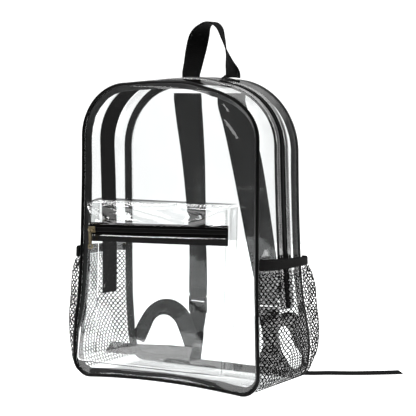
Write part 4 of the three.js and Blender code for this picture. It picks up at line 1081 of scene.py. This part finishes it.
def net_cut(side):
    """Width and length of a net before it was gathered at its foot, in metres."""
    t, h = np.meshgrid(np.linspace(0, 1, 60), np.linspace(0, 1, 20))
    full = NET_SWELL[side] * net_full(h)
    grid = net_point(side, lerp(NET_FOOT, NET_TOP, h), net_share(t), full, NET_SEAT)
    width = np.linalg.norm(np.diff(grid, axis=1), axis=-1).sum(1).max()
    length = np.linalg.norm(np.diff(grid, axis=0), axis=-1).sum(0).mean()
    return float(width) / 1000, float(length) / 1000


def mouth_height(level):
    """Heights round a pocket's mouth at a share of its binding's own height."""
    t = np.linspace(0, 1, 120)
    low = NET_TOP + GAP + MOUTH_THICKNESS / 4
    return low + MOUTH_TILT * (1 - t) * (0.3 + 0.7 * level) + level * (MOUTH_HEIGHT - MOUTH_TILT / 2)


for side, end in ((-1, "left"), (1, "right")):
    net = piece(f"net_{end}", net_mesh(side), NET, "net", f"net_pocket_{end}", smooth=False)
    width, length = net_cut(side)
    share = net_share(np.linspace(0, 1, 120))
    swell = NET_SWELL[side] * MOUTH_FULL
    off = NET_SEAT + (MOUTH_THICKNESS - NET_THICKNESS) / 2
    grid = np.stack([net_point(side, mouth_height(h), share, swell, off) for h in np.linspace(0, 1, 9)], 1)
    shape = slab(grid, band(9, MOUTH_THICKNESS, 0.6))
    piece(f"mouth_{end}", shape, ELASTIC, "webbing", f"net_mouth_{end}")
    outer = off + MOUTH_THICKNESS / 2
    rows = [(net_point(side, mouth_height(h), share, swell, outer), (side, 0.0, 0.0)) for h in (0.16, 0.84)]
    stitches(f"mouth_stitches_{end}", rows, THREAD)

# Straps, adjusters and handle
# across, rise, turn in degrees
HANDLE_FORM = [
    (0.0, 0.0, 0), (0.0, 0.06, 0), (0.05, 0.24, 5), (0.12, 0.5, 20), (0.21, 0.77, 50), (0.34, 0.96, 84),
    (0.5, 1.02, 93), (0.68, 0.92, 103), (0.78, 0.7, 112), (0.86, 0.46, 125), (0.93, 0.24, 145),
    (1.0, 0.06, 165), (1.0, 0.0, 168),
]
hip = float(half_width(REAR, REAR["top"] - REAR_TOP_RADIUS)) - REAR_TOP_RADIUS


def handle_seat(x):
    """Height of the top seam under one foot of the carrying loop."""
    inner = abs(x) - HANDLE_WIDTH / 2
    return HEIGHT - TOP_CROWN * (inner / hip) ** 2 + BINDING_LIP + GAP


rear_top = float(seam_depth(REAR, HEIGHT))
route, lay = [], []
for across, rise, turn in HANDLE_FORM:
    a = math.radians(turn)
    seat = lerp(handle_seat(HANDLE_LEFT), handle_seat(HANDLE_RIGHT), across)
    route.append((lerp(HANDLE_LEFT, HANDLE_RIGHT, across), rear_top, seat + rise * HANDLE_RISE))
    lay.append((math.cos(a), math.sin(a), 0))
grid, _ = ribbon_grid(route, lay, HANDLE_WIDTH, 120, 13)
piece("carrying_loop", slab(grid, band(13, HANDLE_THICKNESS)), WEBBING, "webbing", "handle")

# drop, hang, spread, width of the left one and of the right one, yaw, drift
STRAP_FORM = [
    (0.0, 0.0, 1.0, 1.0, 1.0, 0.0, 0.0), (0.05, 0.03, 1.0, 1.0, 1.0, 0.0, 0.0),
    (0.15, 0.16, 1.02, 1.0, 1.0, 0.25, 0.26), (0.33, 0.45, 1.1, 0.95, 0.98, 0.7, 0.41),
    (0.55, 0.72, 1.2, 0.85, 0.92, 1.0, 0.52), (0.76, 0.9, 1.26, 0.76, 0.86, 1.0, 0.74),
    (0.93, 0.99, 1.32, 0.74, 0.81, 0.6, 0.97), (1.0, 1.0, 1.34, 0.72, 0.79, 0.5, 1.0),
]
STRAP_SEAT = WALL / 2 + GAP + STRAP_THICKNESS / 2


def strap_route(side):
    """Points, directions across and widths of a shoulder strap."""
    start = float(seam_depth(REAR, STRAP_TOP)) + STRAP_SEAT
    at, lay, widths = [], [], []
    out, back = STRAP_DRIFT[side]
    for drop, hang, spread, left, right, yaw, drift in STRAP_FORM:
        a = math.radians(STRAP_YAW[side] * yaw)
        x = side * STRAP_SPACING * spread + out * drift
        at.append((x, start + hang * STRAP_HANG + back * drift, lerp(STRAP_TOP, STRAP_END, drop)))
        lay.append((math.cos(a), math.sin(a), 0))
        widths.append(left if side < 0 else right)
    return at, lay, widths


def lock_place(side):
    """A ladder lock's direction across, and its points by offsets across, back and up."""
    at, lay, _ = strap_route(side)
    across = unit(np.array(lay[-1]))
    away = np.array([-across[1], across[0], 0])
    middle = np.array(at[-1]) + np.array([0, 0, -LOCK_DROP])
    return across, lambda w, d, h: middle + across * w + away * d + np.array([0, 0, h])


WRAP = LOCK_THICKNESS / 2 + GAP + WEBBING_THICKNESS / 2
LAP = STRAP_THICKNESS / 2 + 2 * GAP + WEBBING_THICKNESS / 2
# x, y, share of the foot's height, rest over the floor, lean
TAIL_FORM = {
    1: [
        (0.0, 0.04, 0.675, 0, (1, 0.1, 0)), (0.01, 0.11, 0.35, 0, (1, 0.2, 0.05)),
        (0.05, 0.15, 0.13, 0, (0.8, 0.6, 0.2)), (0.15, 0.04, 0, 2.6, (0.25, 1, 0)),
        (0.33, -0.06, 0, 1.3, (-0.1, 1, 0)), (0.52, 0.2, 0, 1.3, (-0.35, 0.9, 0)),
        (0.7, 0.44, 0, 1.3, (-0.45, 0.9, 0)), (0.86, 0.72, 0, 1.3, (-0.6, 0.8, 0)),
        (1.0, 1.0, 0, 1.3, (-0.7, 0.75, 0)),
    ],
    -1: [
        (0.03, -0.4, 0.675, 0, (1, -0.1, 0)), (0.07, -1.4, 0.364, 0, (1, -0.3, 0.05)),
        (0.13, -2.6, 0.17, 0, (0.8, -0.7, -0.35)), (0.23, -2.9, 0, 10, (0.25, -0.8, -0.55)),
        (0.4, -1.9, 0, 9.6, (0, -0.8, -0.6)), (0.6, -0.8, 0, 9.2, (0, -0.85, -0.5)),
        (0.8, 0.3, 0, 8.4, (0, -0.85, -0.5)), (1.0, 1.0, 0, 8.4, (0, -0.85, -0.5)),
    ],
}
# x, back in millimetres, share of the arch's height, lean
ARCH_FORM = {
    1: [
        (0.06, 3, 0.62, (-1, 0, 0)), (0.1, 4, 0.34, (-1, 0, 0)), (0.11, 1, 0.11, (-1, 0, 0)),
        (0.08, -7, 0.05, (-1, 0, 0)), (0.07, -12, 0.16, (-1, 0, 0.1)),
        (0.12, -13, 0.38, (-0.95, 0.2, 0.25)), (0.19, -15, 0.62, (-0.85, 0.3, 0.45)),
        (0.3, -17, 0.84, (-0.6, 0.5, 0.6)), (0.48, -19, 0.97, (-0.15, 0.7, 0.7)),
        (0.68, -22, 0.97, (0.2, 0.7, 0.65)), (0.85, -25, 0.82, (0.5, 0.5, 0.6)),
        (0.95, -29, 0.6, (0.7, -0.1, 0.4)),
    ],
    -1: [
        (0.03, 4, 0.62, (-1, 0, 0)), (0.06, 6, 0.34, (-1, 0, 0)), (0.07, 2, 0.11, (-1, 0, 0)),
        (0.02, -7, 0.05, (-1, 0, 0)), (-0.03, -12, 0.16, (-1, 0, 0.1)),
        (0.0, -13, 0.36, (-0.95, 0.2, 0.25)), (0.08, -14, 0.62, (-0.85, 0.3, 0.5)),
        (0.2, -14, 0.87, (-0.55, 0.4, 0.75)), (0.4, -14, 1.0, (-0.1, 0.45, 0.9)),
        (0.6, -14, 0.99, (0.2, 0.45, 0.9)), (0.78, -14, 0.87, (0.6, 0.35, 0.7)),
        (0.92, -15, 0.63, (0.85, 0.15, 0.4)),
    ],
}


def webbing_route(side):
    """Points and directions across of a webbing, from its tail through the lock to its anchor."""
    across, place = lock_place(side)
    flip = np.array([side, 1.0, 1.0])
    over = LOCK_BAR / 2 + GAP + WEBBING_THICKNESS / 2
    start, back = place(0, WRAP, -LOCK_HEIGHT / 2), place(0, -WRAP, -LOCK_HEIGHT / 2)
    reach, depth = TAIL_REACH[side], TAIL_BACK[side]
    tail = []
    for x, y, fall, rest, lean in TAIL_FORM[side]:
        point = (lerp(start[0], reach, x), lerp(start[1], depth, y), fall * start[2] + rest)
        tail.append((np.array(point), np.array(lean, float)))
    bottom = LOCK_HEIGHT / 2
    profile = [
        (WRAP, -bottom - 4), (WRAP, -bottom + 2), (WRAP, -1), (WRAP, 0.8), (WRAP * 0.85, over - 0.2),
        (0.9, over + 0.7), (-0.9, over + 0.7), (-WRAP * 0.85, over - 0.2), (-WRAP, 0.8), (-WRAP, -1),
        (-WRAP, -bottom + 2), (-WRAP, -bottom - 4),
    ]
    through = [(place(0, d, h), across) for d, h in profile]
    turn = math.radians(ANCHOR_TURN[side])
    clear = BINDING_THICKNESS / 2 + GAP + WEBBING_THICKNESS + math.sin(turn) * WEBBING_WIDTH / 2
    corner = np.array([
        side * (float(half_width(REAR, ANCHOR_HEIGHT)) - ANCHOR_INSET),
        float(seam_depth(REAR, ANCHOR_HEIGHT)) + clear,
        ANCHOR_HEIGHT,
    ])
    sign = -1 if side > 0 else 1
    arch = []
    for x, y, z, lean in ARCH_FORM[side]:
        point = (lerp(back[0], corner[0], x), back[1] + y, z * ARCH_HEIGHT)
        arch.append((np.array(point), np.array(lean) * flip * sign))
    end = (corner, np.array([math.cos(turn), -math.sin(turn), 0.1]) * flip * sign)
    rows = [*tail[::-1], *through, *arch, end]
    return [r[0] for r in rows], [r[1] for r in rows]


for side, end in ((-1, "left"), (1, "right")):
    at, lay, widths = strap_route(side)
    grid, normal = ribbon_grid(at, lay, STRAP_WIDTH, 150, 17, widths)
    shape = slab(grid, band(17, STRAP_THICKNESS, 0.45))
    strap = piece(f"strap_{end}", shape, STRAP, "webbing", f"shoulder_strap_{end}")
    rows = []
    for up in (-normal[2:-2], normal[2:-2]):
        for column in (2, 14):
            rows.append((grid[2:-2, column] + up * STRAP_THICKNESS / 2, up))
    stitches(f"strap_stitches_{end}", rows, THREAD, pitch=3.6)
    across, place = lock_place(side)
    top = LOCK_DROP + KEEPER_LAP
    bar = LOCK_HEIGHT / 2 - LOCK_BAR - GAP - WEBBING_THICKNESS / 2
    profile = [
        (-LAP, top), (-LAP, LOCK_DROP + 3), (-WRAP, LOCK_HEIGHT / 2), (-WRAP, bar + 1.2),
        (-WRAP * 0.85, bar - 0.5), (-0.9, bar - 1), (0.9, bar - 1), (WRAP * 0.85, bar - 0.5),
        (WRAP, bar + 1.2), (WRAP, LOCK_HEIGHT / 2), (LAP, LOCK_DROP + 3), (LAP, top),
    ]
    loop = [place(0, d, h) for d, h in profile]
    grid, _ = ribbon_grid(loop, [across] * len(loop), WEBBING_WIDTH, 60, 9)
    keeper = slab(grid, band(9, WEBBING_THICKNESS))
    piece(f"keeper_{end}", keeper, WEBBING, "webbing", f"lock_keeper_{end}")
    grid, _ = ribbon_grid(*webbing_route(side), WEBBING_WIDTH, 420, 9)
    length = slab(grid, band(9, WEBBING_THICKNESS))
    piece(f"webbing_{end}", length, WEBBING, "webbing", f"strap_webbing_{end}")


# Hard pieces
def softened(name, source, bevel, material, body="bag"):
    """A CAD node's shape with its edges rounded over."""
    mesh = bpy.data.meshes.new(name)
    bm = bmesh.new()
    bm.from_mesh(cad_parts[source].data)
    bmesh.ops.remove_doubles(bm, verts=bm.verts, dist=1e-5)
    bmesh.ops.dissolve_limit(bm, angle_limit=math.radians(4), verts=bm.verts, edges=bm.edges)
    sharp = [e for e in bm.edges if len(e.link_faces) == 2 and e.calc_face_angle(0) > math.radians(38)]
    bmesh.ops.bevel(
        bm, geom=sharp, offset=bevel / 1000, segments=2, profile=0.6, affect="EDGES", clamp_overlap=True
    )
    bmesh.ops.triangulate(bm, faces=[f for f in bm.faces if len(f.verts) > 4])
    bm.to_mesh(mesh)
    bm.free()
    mesh.shade_smooth()
    show(name, mesh, material, [source], body)


for end in ("left", "right"):
    softened(f"adjuster_{end}", f"ladder_lock_{end}", 0.7, PLASTIC)
softened("main_zip_slider", "main_slider", 0.3, GUNMETAL)
softened("pocket_zip_slider", "pocket_slider", 0.3, BRASS)
softened("main_zip_pull", "main_pull", 0.2, GUNMETAL, "main_pull_body")
softened("pocket_zip_pull", "pocket_pull", 0.2, BRASS, "pocket_pull_body")


# Studio
material, tree = new_material("pale_floor")
shader = node(
    tree, "BsdfPrincipled", Base_Color=grey(0.93), Roughness=0.9, Specular_IOR_Level=0.0,
    Emission_Color=grey(1.0), Emission_Strength=0.95,
)
node(tree, "OutputMaterial", Surface=shader.outputs["BSDF"])
mesh = bpy.data.meshes.new("floor")
FLOOR_SIDE, FLOOR_NEAR = 1.6, -0.6
corners = [(-FLOOR_SIDE, FLOOR_NEAR), (FLOOR_SIDE, FLOOR_NEAR), (FLOOR_SIDE, FLOOR_SIDE), (-FLOOR_SIDE, FLOOR_SIDE)]
mesh.from_pydata([(x, y, 0) for x, y in corners], [], [(0, 1, 2, 3)])
mesh.materials.append(material)
floor = placed("floor", mesh)

# The world is pale where the camera sees it, and elsewhere grows lighter with height.
world = bpy.data.worlds.new("studio")
world.use_nodes = True
tree = world.node_tree
tree.nodes.clear()
height = node(tree, "SeparateXYZ", Vector=node(tree, "TexCoord").outputs["Generated"]).outputs["Z"]
lit = node(tree, "Background", Color=ramp(tree, height, 0.3, 0.85, grey(0.16), grey(1.3)), Strength=1.0)
seen = node(tree, "Background", Color=grey(1.0), Strength=1.3)
camera_ray = node(tree, "LightPath").outputs["Is Camera Ray"]
both = mixed(tree, camera_ray, lit.outputs["Background"], seen.outputs["Background"])
node(tree, "OutputWorld", Surface=both)
bpy.context.scene.world = world


def area_light(name, location, target, size, power):
    data = bpy.data.lights.new(name, "AREA")
    data.shape = "RECTANGLE"
    data.size, data.size_y = size
    data.energy = power
    obj = placed(name, data)
    obj.location = location
    x, y, z = np.array(target) - np.array(location)
    obj.rotation_euler = (math.pi / 2 + math.atan2(z, math.hypot(x, y)), 0, math.atan2(-x, y))


area_light("key_light", (-1.3, -1.4, 1.9), (0, 0, 0.2), (1.4, 1.0), 45)
area_light("side_light", (2.0, 0.3, 1.2), (0, 0, 0.25), (0.7, 1.6), 30)

CAMERA_PLACE = (1.0909, -1.7117, 0.4179)
CAMERA_DIP = 0.085566
CAMERA_TURN = 0.55507
camera_data = bpy.data.cameras.new("camera")
camera_data.lens = 124.15
camera_data.sensor_width = 36
camera = placed("camera", camera_data)
camera.location = CAMERA_PLACE
camera.rotation_euler = (math.pi / 2 - CAMERA_DIP, 0, CAMERA_TURN)
bpy.context.scene.camera = camera
bpy.context.scene.view_settings.view_transform = "Standard"
bpy.context.scene.cycles.transparent_max_bounces = 48
